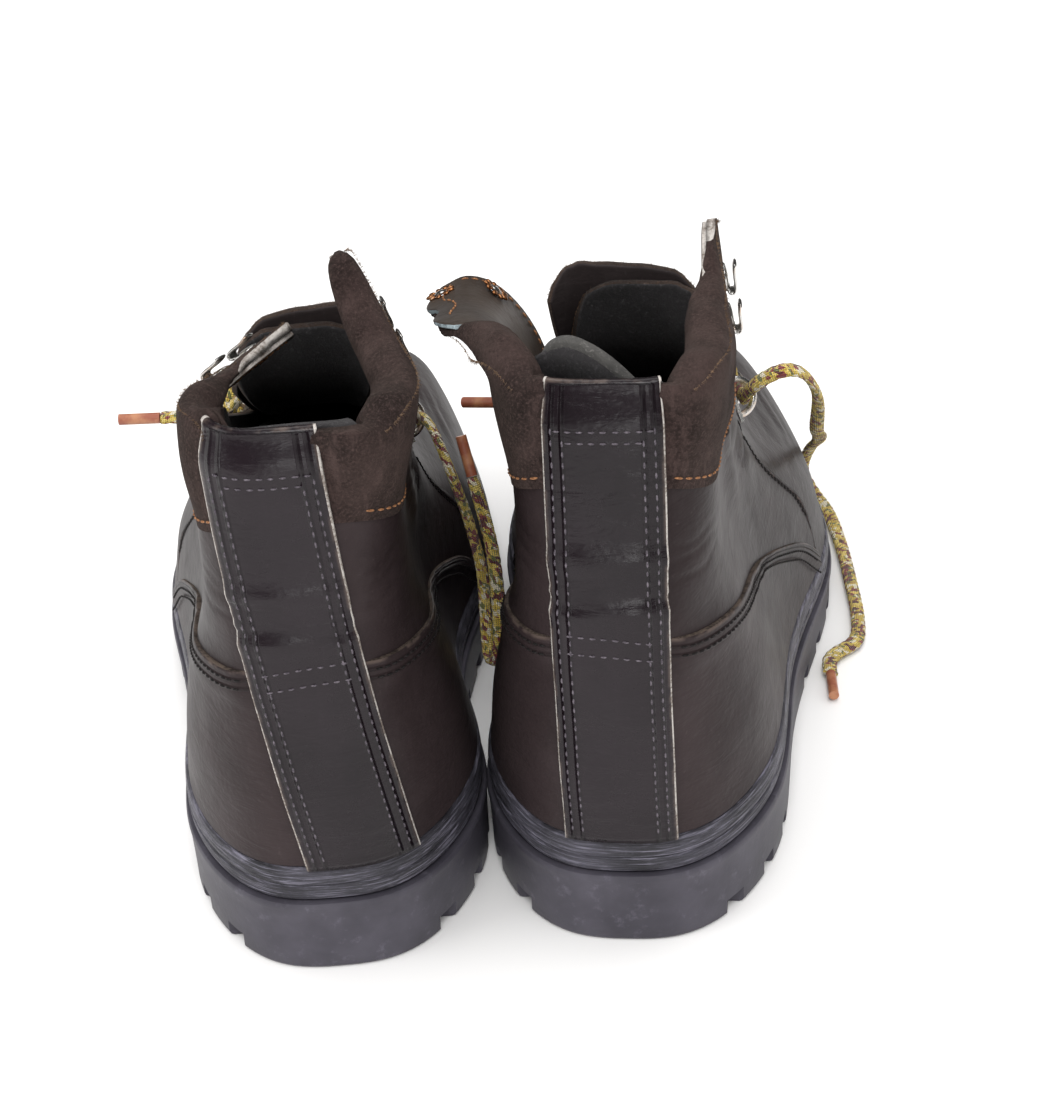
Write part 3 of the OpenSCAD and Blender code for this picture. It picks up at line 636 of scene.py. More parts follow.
def rubber_material(name, dark, light, gloss=0.5, ribs=0.0):
    """Moulded rubber; with ribs, fine horizontal fibres as on a stacked midsole."""
    s = Shader(name)
    broad = s.noise(30, 4, 0.6)
    fine = s.noise(700, 4, 0.6)
    dust = s.band(s.noise(220, 5, 0.7), 0.55, 0.75)
    colour = s.mix(s.band(broad, 0.35, 0.7), dark, light)
    colour = s.mix(s.times(dust, 0.30), colour, scaled(light, 2.4))
    normal = s.bump(fine, 0.08)
    if ribs > 0:
        fibre = s.noise(240, 5, 0.7, s.stretched((0.35, 0.35, 9)))
        colour = s.mix(s.band(fibre, 0.48, 0.70), colour, scaled(light, 3.2))
        colour = s.mix(s.band(fibre, 0.45, 0.25), colour, scaled(dark, 0.3))
        normal = s.bump(fibre, ribs, normal)
    rough = s.plus(s.times(broad, 0.25), gloss - 0.12)
    return s.surface(Base_Color=colour, Roughness=rough, Normal=normal, Specular_IOR_Level=0.28)


def metal_material(name, base, tint, rough=0.22):
    """Plated metal with smudges and a warm tint where the plating is thin."""
    s = Shader(name)
    smudge = s.noise(220, 5, 0.6)
    colour = s.mix(s.band(smudge, 0.48, 0.72), base, tint)
    scratch = s.noise(900, 3, 0.7, s.stretched((1, 5, 1)))
    roughness = s.plus(s.times(smudge, 0.25), rough - 0.08)
    return s.surface(Base_Color=colour, Metallic=1.0, Roughness=roughness, Normal=s.bump(scratch, 0.03))


def lace_material(name):
    """Space-dyed round lace: olive yellow, maroon and cream flecks in a diagonal weave, with painted shade in the
    weave's hollows.
    """
    s = Shader(name)
    uv = s.node("ShaderNodeUVMap", {"uv_map": "weave"}).outputs["UV"]
    slanted = s.node("ShaderNodeMapping", None, {"Vector": uv, "Rotation": (0, 0, 0.6)}).outputs["Vector"]
    fleck = s.node("ShaderNodeTexVoronoi", {"feature": "F1"},
                   {"Vector": s.stretched((0.55, 1.15, 1), slanted), "Scale": 1.0}).outputs["Color"]
    pick = s.node("ShaderNodeSeparateColor", None, {"Color": fleck}).outputs["Red"]
    zone = s.noise(0.11, 2, 0.5, uv)
    shade = s.plus(s.times(pick, 0.75), s.times(s.band(zone, 0.38, 0.62), 0.25))
    maroon, red, ochre = (0.10, 0.010, 0.014), (0.24, 0.030, 0.03), (0.60, 0.42, 0.045)
    yellow, olive, cream = (0.84, 0.64, 0.14), (0.16, 0.17, 0.04), (0.88, 0.80, 0.60)
    colour = s.steps(shade, [(0.0, maroon), (0.20, red), (0.32, ochre), (0.54, yellow), (0.68, olive),
                             (0.77, cream)])
    split = s.node("ShaderNodeSeparateXYZ", None, {"Vector": uv})
    slants = [s.math(sign, split.outputs["X"], split.outputs["Y"]) for sign in ("ADD", "SUBTRACT")]
    weave = s.times(*[s.math("SINE", s.times(slant, 5.0)) for slant in slants])
    # Darker where the weave dips: painted shade between the braid's ridges
    colour = s.mix(s.times(s.band(weave, 0.0, -0.9), 0.55), colour, (0.05, 0.03, 0.015))
    fuzz = s.noise(1600, 3, 0.7)
    normal = s.bump(weave, 0.30, s.bump(fuzz, 0.15))
    return s.surface(Base_Color=colour, Roughness=0.85, Normal=normal, Specular_IOR_Level=0.25,
                     Sheen_Weight=0.3)


def thread_material(name, colour, dark):
    s = Shader(name)
    twist = s.noise(1500, 3, 0.7)
    return s.surface(Base_Color=s.mix(s.band(twist, 0.35, 0.7), dark, colour), Roughness=0.8,
                     Normal=s.bump(twist, 0.1), Specular_IOR_Level=0.3)


def plastic_material(name, dark, light):
    s = Shader(name)
    stain = s.noise(160, 4, 0.6)
    return s.surface(Base_Color=s.mix(s.band(stain, 0.4, 0.65), dark, light), Roughness=0.4,
                     Normal=s.bump(s.noise(600, 3), 0.06))


def board_material(name, dark, light):
    s = Shader(name)
    flake = s.noise(350, 5, 0.75)
    return s.surface(Base_Color=s.mix(s.band(flake, 0.35, 0.65), dark, light), Roughness=0.85,
                     Normal=s.bump(flake, 0.2))


M = {
    "leather": leather_material("worn_leather", (0.0205, 0.0142, 0.0148), (0.038, 0.0275, 0.0285)),
    "strip": leather_material("strip_leather", (0.0062, 0.0036, 0.0052), (0.0135, 0.0088, 0.0118), 0.27, 0.08,
                              True, 0.27),
    "tongue": leather_material("tongue_leather", (0.024, 0.019, 0.019), (0.046, 0.037, 0.037), 0.5, 0.12,
                               False),
    "facing": leather_material("facing_leather", (0.040, 0.031, 0.026), (0.085, 0.067, 0.055), 0.45, 0.10,
                               False),
    "suede": suede_material("collar_suede", (0.012, 0.0078, 0.0075), (0.042, 0.0275, 0.0255)),
    "raw": raw_edge_material("raw_edge", (0.50, 0.47, 0.44), (0.16, 0.13, 0.11)),
    "raw_blue": raw_edge_material("raw_edge_bluish", (0.33, 0.40, 0.43), (0.10, 0.12, 0.13)),
    "raw_dark": raw_edge_material("raw_edge_dark", (0.10, 0.075, 0.06), (0.025, 0.018, 0.015)),
    "lining": felt_material("dark_lining", (0.020, 0.019, 0.0195), (0.044, 0.041, 0.043)),
    "roll": felt_material("grey_roll", (0.030, 0.029, 0.028), (0.110, 0.106, 0.100)),
    "brown_felt": felt_material("brown_felt", (0.020, 0.012, 0.009), (0.060, 0.038, 0.028)),
    "nap": felt_material("pulled_nap", (0.10, 0.055, 0.030), (0.24, 0.15, 0.09)),
    "footbed": felt_material("footbed_felt", (0.035, 0.034, 0.036), (0.075, 0.073, 0.075), 600),
    "rubber": rubber_material("sole_rubber", (0.041, 0.038, 0.049), (0.075, 0.070, 0.088)),
    "ribbed": rubber_material("ribbed_midsole", (0.026, 0.025, 0.030), (0.066, 0.063, 0.080), 0.42, 0.6),
    "nickel": metal_material("nickel_plate", (0.62, 0.61, 0.59), (0.60, 0.45, 0.34)),
    "copper": metal_material("copper_petals", (0.55, 0.24, 0.10), (0.70, 0.45, 0.28), 0.35),
    "lace": lace_material("dyed_lace"),
    "pale_thread": thread_material("pale_thread", (0.150, 0.130, 0.150), (0.050, 0.042, 0.052)),
    "tan_thread": thread_material("tan_thread", (0.42, 0.20, 0.09), (0.16, 0.07, 0.03)),
    "dark_thread": thread_material("dark_thread", (0.018, 0.014, 0.014), (0.006, 0.005, 0.005)),
    "aglet": plastic_material("aglet_sleeve", (0.30, 0.09, 0.05), (0.45, 0.20, 0.10)),
    "board": board_material("fibre_board", (0.28, 0.20, 0.12), (0.42, 0.33, 0.22)),
    "stiff": board_material("stiffener_board", (0.34, 0.29, 0.20), (0.50, 0.44, 0.33)),
    "steel": metal_material("spring_steel", (0.40, 0.41, 0.43), (0.46, 0.44, 0.42), 0.35),
}


# ---------------------------------------------------------------- the leather's relief
def ripple(v, a, seed):
    """A slow unevenness of the leather, up to about 0.5 mm."""
    k = np.radians(a)
    return (0.22 * np.sin(9 * v + 3.1 * k + seed) + 0.16 * np.sin(17 * v - 5.2 * k + 2 * seed)
            + 0.10 * np.sin(31 * v + 8.3 * k + 3 * seed))


def wave_lines(v, a, levels, centre, reach, depth, sharp, seed):
    """Creases that run round the boot at the given levels, fading away from the centre angle."""
    out = np.zeros(np.shape(v))
    fade = np.exp(-((np.abs(a) - centre) / reach) ** 2)
    for k, level in enumerate(levels):
        turn = np.radians(a)
        wander = 0.008 * np.sin(turn * (5 + k) + seed + 2.3 * k) + 0.004 * np.sin(turn * 17 + k)
        out -= depth * np.exp(-((v - level - wander) / sharp) ** 2)
    return out * fade


# ---------------------------------------------------------------- stitches and small parts
def stitch_mesh(name, runs, material, length=2.3, width=0.75, pitch=3.1):
    """Short raised stitches along runs of (points, normals) in the row frame, in mm; all of them one mesh."""
    rings, around = np.array([-1.0, -0.62, 0.0, 0.62, 1.0]), 6
    profile = np.array([0.15, 0.8, 1.0, 0.8, 0.15])
    points, faces = [], []
    for path, normals in runs:
        s = run_lengths(path)
        for at in np.arange(pitch / 2, s[-1], pitch):
            at = at + rng.uniform(-0.12, 0.12)
            p, q, n = along(at, s, path), along(at + 0.5, s, path), unit(along(at, s, normals))
            t = unit(q - p if np.linalg.norm(q - p) > 1e-6 else path[-1] - path[-2])
            b = np.cross(n, t)
            start = len(points)
            for r, size in zip(rings, profile):
                for k in range(around):
                    angle = 2 * math.pi * k / around
                    off = b * math.cos(angle) * width / 2 * size + n * math.sin(angle) * width / 2 * size
                    points.append(p + t * r * length / 2 + off + n * 0.12 * (1 - abs(r)))
            faces += ring_faces(len(rings), around, start)
    return make_mesh(name, np.array(points) * MM, faces, [material])


def seam_run(sheet, a, v, near=3.0):
    """A run of points along levels v at angles a on a sheet's outer face, in the row frame, in mm."""
    a, v = np.asarray(a, float), np.broadcast_to(np.asarray(v, float), np.shape(a))
    boot = sheet.boot
    p = sheet.top(v, a, near)
    return boot.row(p, p - boot.point(v, a, sheet.d_out + 1.5, sheet.side))


def tube(name, boot, path, width, thick, material, twist, around=14):
    """A flattened round cord along a path in the boot frame, with a weave map in mm: u along, v around."""
    s = run_lengths(path)
    n = max(4, int(s[-1] / 1.2))
    at = np.linspace(0, s[-1], n)
    path = along(at, s, path)
    soft = np.array([0.25, 0.5, 0.25])
    for _ in range(3):
        for k in range(3):
            path[1:-1, k] = np.convolve(path[:, k], soft, "valid")
    t = unit(np.gradient(path, axis=0))
    up = np.zeros_like(t)
    up[0] = unit(np.cross(t[0], [0.3, 0.2, 1.0]))
    for i in range(1, n):
        up[i] = unit(up[i - 1] - t[i] * (up[i - 1] @ t[i]))
    turn = np.interp(at, *zip(*twist))
    side = np.cross(t, up)
    c, d = np.cos(turn)[:, None], np.sin(turn)[:, None]
    x, y = up * c + side * d, side * c - up * d
    angle = 2 * math.pi * np.arange(around) / around
    puff = 1 + 0.05 * np.sin(at * 1.9)[:, None, None]
    wide, deep = np.cos(angle)[None, :, None] * width / 2, np.sin(angle)[None, :, None] * thick / 2
    points = (path[:, None] + (x[:, None] * wide + y[:, None] * deep) * puff).reshape(-1, 3)
    faces = turned(ring_faces(n, around), boot.mirror < 0)
    piece = make_mesh(f"{boot.name}_{name}", boot.place(points), faces, [material])
    layer = piece.data.uv_layers.new(name="weave")
    girth = math.pi * (width + thick) / 2
    for polygon in piece.data.polygons:
        ks = [piece.data.loops[i].vertex_index % around for i in polygon.loop_indices]
        wrap = max(ks) - min(ks) > around / 2 and len(ks) == 4
        for i, k in zip(polygon.loop_indices, ks):
            row = piece.data.loops[i].vertex_index // around
            k = k + around if wrap and k < around / 2 else k
            layer.data[i].uv = (at[row], k / around * girth)
    return piece


def smooth_path(points, n=10):
    """A Catmull-Rom path through points."""
    p = np.asarray(points, float)
    out = []
    for i in range(len(p) - 1):
        a, b, c, d = p[max(i - 1, 0)], p[i], p[i + 1], p[min(i + 2, len(p) - 1)]
        for u in np.arange(n) / n:
            bend = (c - a) / 2 * u * (1 - u) ** 2 + (d - b) / 2 * u * u * (u - 1)
            out.append(b + (c - b) * (3 - 2 * u) * u * u + bend)
    out.append(p[-1])
    return np.array(out)


def fibres(name, runs, material, length, spread, per_mm, width=0.16):
    """Loose fibres along runs of (points, normals) in mm in the row frame: thin three-sided spikes."""
    points, faces = [], []
    for path, normals in runs:
        s = run_lengths(path)
        for at in rng.uniform(0, s[-1], int(s[-1] * per_mm)):
            p = along(at, s, path)
            d = unit(along(at, s, normals) + rng.normal(0, spread, 3))
            b = unit(np.cross(d, [0.31, 0.53, 0.79]))
            c = np.cross(d, b)
            start = len(points)
            for k in range(3):
                angle = 2.1 * k
                points.append(p - d * 0.3 + (b * math.cos(angle) + c * math.sin(angle)) * width / 2)
            points.append(p + d * length * rng.uniform(0.4, 1.0))
            faces += [tuple(start + k for k in f) for f in ((0, 1, 3), (1, 2, 3), (2, 0, 3), (2, 1, 0))]
    return make_mesh(name, np.array(points) * MM, faces, [material])


# ---------------------------------------------------------------- the sole
def feather(t):
    q = np.clip((t - 2.5) / (front_y(np.zeros(1))[0] - 2.5), 0, 1)
    zero = np.zeros_like(q)
    return back_z(zero) * (1 - q) + front_z(zero) * q - ball_dip(zero, q)


def lip_height(t):
    depth = curve([(0, MIDSOLE_HEEL), (90, MIDSOLE_HEEL), (190, MIDSOLE_BALL), (300, MIDSOLE_BALL)], t)
    return feather(t) - 0.6 - depth


def sole_outline(out, count):
    fine = np.linspace(0, 360, 4001)
    edge = skin(np.zeros_like(fine), fine)
    normal = skin_normal(np.full_like(fine, 0.001), fine)
    flat = edge[:, :2] + out * normal[:, :2]
    run = run_lengths(flat)
    return along(np.linspace(0, run[-1], count, endpoint=False), run, flat)


def wall(name, boot, profile, count, material):
    """A closed body swept round the sole: profile gives (offset, height) rings from the bottom up."""
    rings = []
    for out, height in profile:
        xy = sole_outline(out, count)
        rings.append(np.column_stack([xy, height(-xy[:, 1])]))
    faces = turned(ring_faces(len(rings), count), boot.mirror > 0)
    return make_mesh(f"{boot.name}_{name}", boot.place(np.concatenate(rings)), faces, [material])


def box_points(centre, size):
    """Corners of a box in the boot frame."""
    x, y, z = [np.array([-1, 1]) * k / 2 for k in size]
    return np.array([[a, b, c] for a in x for b in y for c in z]) + np.array(centre)


BOX_FACES = [(0, 1, 3, 2), (4, 6, 7, 5), (0, 4, 5, 1), (2, 3, 7, 6), (0, 2, 6, 4), (1, 5, 7, 3)]


def prism(profile, half):
    """A prism across the sole: profile in (y forward, z), half its width."""
    n = len(profile)
    points = [(sign * half, -t, z) for sign in (-1, 1) for t, z in profile]
    faces = [tuple(range(n)), tuple(range(2 * n - 1, n - 1, -1))]
    faces += [(k, k + n, (k + 1) % n + n, (k + 1) % n) for k in range(n)]
    return np.array(points), faces


def tread_cutters(boot):
    """The notches round the tread, its channels, the arch and the lift of the toe."""
    points, faces = [], []

    def add(new, shape):
        start = sum(len(p) for p in points)
        points.append(new)
        faces.extend(tuple(i + start for i in f) for f in shape)

    for y in (18, 36, 54):
        for x in (-1, 1):
            add(box_points((x * 40, -y, 1.5), (26, 7, 7)), BOX_FACES)
    for x in (-9, 9):
        add(box_points((x, -40, 1.4), (5, 52, 7)), BOX_FACES)
    for y in range(126, 247, 20):
        for x in (-1, 1):
            add(box_points((x * 42, -y - x * 3, 1.6), (44, 7, 7.2)), BOX_FACES)
    add(box_points((0, -182, 1.3), (6, 124, 7)), BOX_FACES)
    add(*prism([(78, -3), (82, 9), (94, 9), (112, 0), (114, -3)], 70))
    add(*prism([(230, -3), (230, 0), (275, 3.5), (308, 15), (320, 24), (320, -3)], 70))
    faces = turned(faces, boot.mirror < 0)
    return make_mesh("cutters", boot.place(np.concatenate(points)), faces, [M["rubber"]], None, False)


def cut(piece, cutters):
    """Takes the cutters out of the piece and keeps the result as its mesh."""
    modifier = piece.modifiers.new("tread", "BOOLEAN")
    modifier.object, modifier.operation, modifier.solver = cutters, "DIFFERENCE", "EXACT"
    modifier.use_self = True
    evaluated = piece.evaluated_get(bpy.context.evaluated_depsgraph_get())
    mesh = bpy.data.meshes.new_from_object(evaluated)
    piece.modifiers.clear()
    piece.data = mesh
    bpy.data.objects.remove(cutters)


def sharpen(piece, degrees):
    piece.data.polygons.foreach_set("use_smooth", np.ones(len(piece.data.polygons), bool))
    piece.data.set_sharp_from_angle(angle=math.radians(degrees))


def outsole(boot):
    """The tread, up to its rounded lip: rings at (offset out, share of the lip's height, rise in mm)."""
    rings = [(-1.6, 0, 0), (-0.9, 0, 0.35), (-0.5, 0, 1.2), (-0.45, 0.3, 0), (-0.35, 0.5, 0), (-0.2, 0.7, 0),
             (-0.05, 1, -3.0), (0.15, 1, -2.2), (0.25, 1, -1.4), (0.15, 1, -0.6), (-0.15, 1, -0.15),
             (-0.6, 1, 0), (-1.8, 1, -0.05)]
    profile = [(LIP_OUT + out, lambda t, share=share, rise=rise: lip_height(t) * share + rise)
               for out, share, rise in rings]
    piece = wall("outsole_tread", boot, profile, 300, M["rubber"])
    cut(piece, tread_cutters(boot))
    piece.data.materials.clear()
    piece.data.materials.append(M["rubber"])
    sharpen(piece, 32)
    finish_piece(piece, boot, "sole_rubber", "outsole")


def midsole(boot):
    """The ribbed band between the lip and the upper: two stacks of fine ribs with a groove between them."""
    top = lambda t: feather(t) - 0.25
    rows = 34
    profile = [(LIP_OUT - 3.0, lambda t: lip_height(t) + 0.15)]
    for k in range(rows + 1):
        u = k / rows
        groove = 0.75 * math.exp(-((u - 0.47) / 0.035) ** 2)
        foot = 0.8 * math.exp(-(u / 0.06) ** 2)
        rib = 0.20 * (1 - abs(math.sin(math.pi * u * 9)))
        crown = 0.55 * (1 - (2 * u - 1) ** 2)
        shoulder = 1.3 * max(0.0, (u - 0.90) / 0.10) ** 2
        out = LIP_OUT - 1.25 + crown - groove - foot - rib - shoulder
        profile.append((out, lambda t, u=u: (lip_height(t) + 0.2) * (1 - u) + top(t) * u))
    profile.append((LIP_OUT - 4.2, lambda t: top(t) + 0.05))
    piece = wall("midsole_band", boot, profile, 260, M["ribbed"])
    sharpen(piece, 60)
    finish_piece(piece, boot, "midsole_rubber", "midsole")


# ---------------------------------------------------------------- the upper
def finish_piece(piece, boot, slot, *nodes, body=None):
    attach(piece, body or boot.body)
    if nodes:
        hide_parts(*[f"{boot.name}_{n}" for n in nodes])


LEATHER_FACES = ("leather", "raw_dark", "lining")
MM_PER_DEGREE = 0.95


def faces_of(*names):
    return [M[n] for n in names]


def vamp(boot):
    """The leather over the toes: it ends at the throat, and runs under the quarters beside it."""
    angles = front_angles(95.2, 2.6, 0.12)
    folded = np.where(angles > 180, 360 - angles, angles)
    at_seam, at_throat = vamp_seam(np.minimum(folded, 127)) + 0.012, throat_edge(np.maximum(folded, 127))
    hi = np.where(folded < 127, at_seam, at_throat)

    def relief(v, a):
        b = np.where(a > 180, 360 - a, a)
        toe = 1.6 * np.exp(-((v - 0.13) / 0.10) ** 2) * smooth(b, 140, 168)
        flex = wave_lines(v, b, [0.27, 0.315, 0.36, 0.41], 168, 34, 0.9, 0.011, 1.0)
        flank = wave_lines(v, b, [0.20, 0.25], 128, 12, 0.5, 0.012, 2.2)
        return toe + flex + flank + 0.8 * ripple(v, b, 0.4)

    sheet = Sheet(boot, angles, np.full_like(angles, -0.002), hi, 2.2, LAYER1, LEATHER, relief, edges="h")
    finish_piece(sheet.build("vamp_leather", faces_of(*LEATHER_FACES)), boot, "upper_leather", "vamp")
    runs = []
    b = np.linspace(128.5, 178, 90)
    for a in (b, 360 - b):
        for mm in SEAM_ROWS:
            runs.append(seam_run(sheet, a, boot.below(throat_edge(b), b, mm)))
    return runs


def foxing(boot):
    """The leather round the heel, lapped over the quarters along the counter seam."""
    angles = ring_angles(-94.6, 94.6, 2.4, 0.15)

    def relief(v, a):
        fold = wave_lines(v, a, [0.335, 0.30, 0.26], 78, 13, 0.55, 0.010, 0.7)
        return fold + 0.7 * ripple(v, a, 1.3)

    sheet = Sheet(boot, angles, np.full_like(angles, -0.002), counter_seam(angles), 2.2, LAYER1 - 0.05,
                  LEATHER, relief, edges="h", lap=0.95)
    piece = sheet.build("heel_foxing_leather", faces_of(*LEATHER_FACES))
    finish_piece(piece, boot, "upper_leather", "heel_foxing")
    runs = []
    for sign in (1, -1):
        a = np.linspace(20, 93, 130) * sign
        slope = np.gradient(counter_seam(a) * (BACK_HEIGHT - FEATHER), np.abs(a) * MM_PER_DEGREE)
        for mm in SEAM_ROWS:
            runs.append(seam_run(sheet, a, boot.below(counter_seam(a), a, mm / np.cos(np.arctan(slope)))))
    return runs


def quarter(boot, side):
    """The leather of one flank, between the heel's foxing, the vamp and the collar."""
    angles = side_angles(0.3, 119, 2.4, 0.5, side)
    b = np.abs(angles)
    lo = np.where(b < 95, counter_seam(np.minimum(b, 95)) - 0.035, vamp_seam(np.maximum(b, 95)))
    lo = np.maximum(lo, 0.0)
    hi = collar_seam(angles) + 0.015

    def relief(v, a):
        b = np.abs(a)
        ridge = 1.5 * np.exp(-((b - 84 - 10 * (v - 0.6)) / 5.0) ** 2) * smooth(v, 0.42, 0.58)
        ankle = wave_lines(v, a, [0.52, 0.565, 0.61, 0.655], 104, 17, 0.9, 0.013, 0.5)
        back = wave_lines(v, a, [0.60, 0.63, 0.665], 28, 20, 0.45, 0.008, 1.9)
        return ridge + ankle + back + 0.8 * ripple(v, a, 2.1 + side)

    sheet = Sheet(boot, angles, lo, hi, 2.2, LAYER1 + 0.15, LEATHER - 0.2, relief, edges="")
    name = f"quarter_{side_name(side)}"
    finish_piece(sheet.build(f"{name}_leather", faces_of(*LEATHER_FACES)), boot, "upper_leather", name)
    a = np.linspace(96.5, 118, 60) * side
    return [seam_run(sheet, a, boot.below(vamp_seam(a), a, -1.25 * mm)) for mm in SEAM_ROWS]


def strip_angle(v, s):
    """Ring angle of a point s mm across the back at level v."""
    width = ring_width(v, np.ones_like(v))
    return np.degrees(np.sign(s) * np.arcsin(np.clip(np.abs(s) / width, 0, 0.9) ** (1 / ring_power(v))))


def backstay(boot):
    """The strip up the back of the heel: folded over at the top, raw at the sides, sewn in double rows."""
    low, high = STRIP_SHIFT[boot.name]
    border = np.array([0.92, 0.955, 0.984, 1])
    across = np.concatenate([-border[::-1], np.linspace(-0.87, 0.87, 15), border])
    levels = np.concatenate([np.linspace(0.0, 0.96, 74), [0.968, 0.976, 0.984, 0.991, 0.997]])
    half = STRIP_WIDTH / 2
    s, v = np.meshgrid(across * half, levels, indexing="ij")
    shift = low + (high - low) * v

    def lift(v, s):
        crease = np.zeros_like(v)
        for k, level in enumerate((0.575, 0.592, 0.612, 0.63)):
            bow = level + 0.006 * np.sin(s / 6 + k * 1.7) - 0.00004 * s * s
            crease -= (0.75 - 0.1 * k) * np.exp(-((v - bow) / 0.0048) ** 2)
        bulge = 0.6 * np.exp(-((v - 0.655) / 0.02) ** 2) + 0.45 * np.exp(-((v - 0.55) / 0.02) ** 2)
        return crease + bulge + 0.12 * np.sin(v * 23 + s * 0.2)

    def bend(v):
        return 3.0 * smooth(v, 0.89, 1.0) ** 2

    roll = rounded(half - np.abs(s), 0.9)
    face = boot.deep(v, strip_angle(v, s + shift), roll + bend(v) - lift(v, s))
    columns = []
    thick, tip = 2.6, levels[-1:]
    for i in range(face.shape[0]):
        column = list(face[i])
        top = boot.deep(tip, strip_angle(tip, s[i, -1:] + high), thick / 2 + bend(tip))[0]
        normal = unit(column[-1] - top)
        lift_up = unit(column[-1] - column[-2])
        for g in np.linspace(0, math.pi, 9)[1:]:
            column.append(top + normal * math.cos(g) * thick / 2 + lift_up * math.sin(g) * thick / 2)
        inside = levels[::-1][(levels[::-1] < 0.99) & (levels[::-1] > 0.86)]
        angle = strip_angle(inside, s[i, 0] + low + (high - low) * inside)
        back = boot.deep(inside, angle, thick + bend(inside))
        columns.append(np.array(column + list(back)))
    grid = np.array(columns)
    nc, nr = grid.shape[:2]
    normals = unit(np.cross(np.gradient(grid, axis=1), np.gradient(grid, axis=0)))
    inner = grid - normals * 1.25
    points, faces, loop = closed_grid(grid, inner, boot.mirror < 0)
    i = np.repeat(np.arange(nc - 1), nr - 1)
    border = np.minimum(i, nc - 2 - i) < 2
    slots = np.concatenate([np.where(border, 1, 0), np.full((nc - 1) * (nr - 1), 0), np.full(len(loop), 1)])
    name = f"{boot.name}_backstay_leather"
    piece = make_mesh(name, boot.place(points), faces, faces_of("strip", "raw"), slots)
    ridge = np.abs(np.arange(nr) - levels.size - 1.5) * 0.8
    side_gap = half - np.abs(across * half)
    near = np.where(ridge < 2, np.minimum(side_gap[:, None], ridge[None, :]), side_gap[:, None])
    attribute(piece, "edge_mm", np.tile(near.ravel(), 2))
    finish_piece(piece, boot, "backstay_leather", "backstay")

    def row(v, s):
        v, s = np.broadcast_arrays(np.asarray(v, float), np.asarray(s, float))
        at = strip_angle(v, s + low + (high - low) * v)
        p = boot.deep(v, at, bend(v) - lift(v, s))
        return boot.row(p, p - boot.deep(v, at, bend(v) + 1.5))

    runs = []
    rows = ((2.7, 0.915), (5.5, 0.893))
    for sign in (-1, 1):
        for inset, top in rows:
            runs.append(row(np.linspace(0.02, top, 160), sign * (half - inset)))
    for inset, top in rows:
        runs.append(row(top, np.linspace(-half + inset, half - inset, 40)))
    bow = np.linspace(-half + 4, half - 3, 40)
    for level in (0.50, 0.462):
        runs.append(row(level - 0.012 * bow / half - 0.00004 * bow ** 2, bow))
    return runs


def ear_blend(piece, boot, side):
    """Works out points across the fold line of the ear on that side, then bakes the piece's transform into its
    mesh.
    """
    start, _, n, rise = boot.fold_frame(side)
    direction = unit(rise * 0.5 + n * 0.866) if boot.folds[side] > 100 else rise
    near, far = boot.place(np.array([start - direction * 1.0, start + direction * 7.0]))
    boot.ear(side)
    tuple(near)
    tuple(far)
    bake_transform(piece)


# Angles between which the collar's padding fades out, by boot and side
PADDING_END = {("left", -1): (88, 122), ("left", 1): (70, 96),
               ("right", -1): (56, 76), ("right", 1): (80, 112)}


def padding(boot, a):
    """1 where the collar is padded, falling to 0 at the thin ears."""
    inner, outer = PADDING_END[boot.name, -1], PADDING_END[boot.name, 1]
    b = np.abs(a)
    return 1 - np.where(a < 0, smooth(b, *inner), smooth(b, *outer))


def ear_top(boot, a):
    """The collar's upper edge: the left boot's inner ear stands taller, the right boot's is shorter."""
    b = np.abs(a)
    taller = 0.095 * np.exp(-((b - 103) / 15) ** 2) if boot.name == "left" else 0
    shorter = 0.070 * smooth(b, 80, 104) + 0.035 * smooth(b, 104, 124) if boot.name == "right" else 0
    rise = 0.035 * smooth(b, 22, 45) * (1 - smooth(b, 70, 95))
    return topline(a) + rise + np.where(a < 0, taller - shorter, 0)


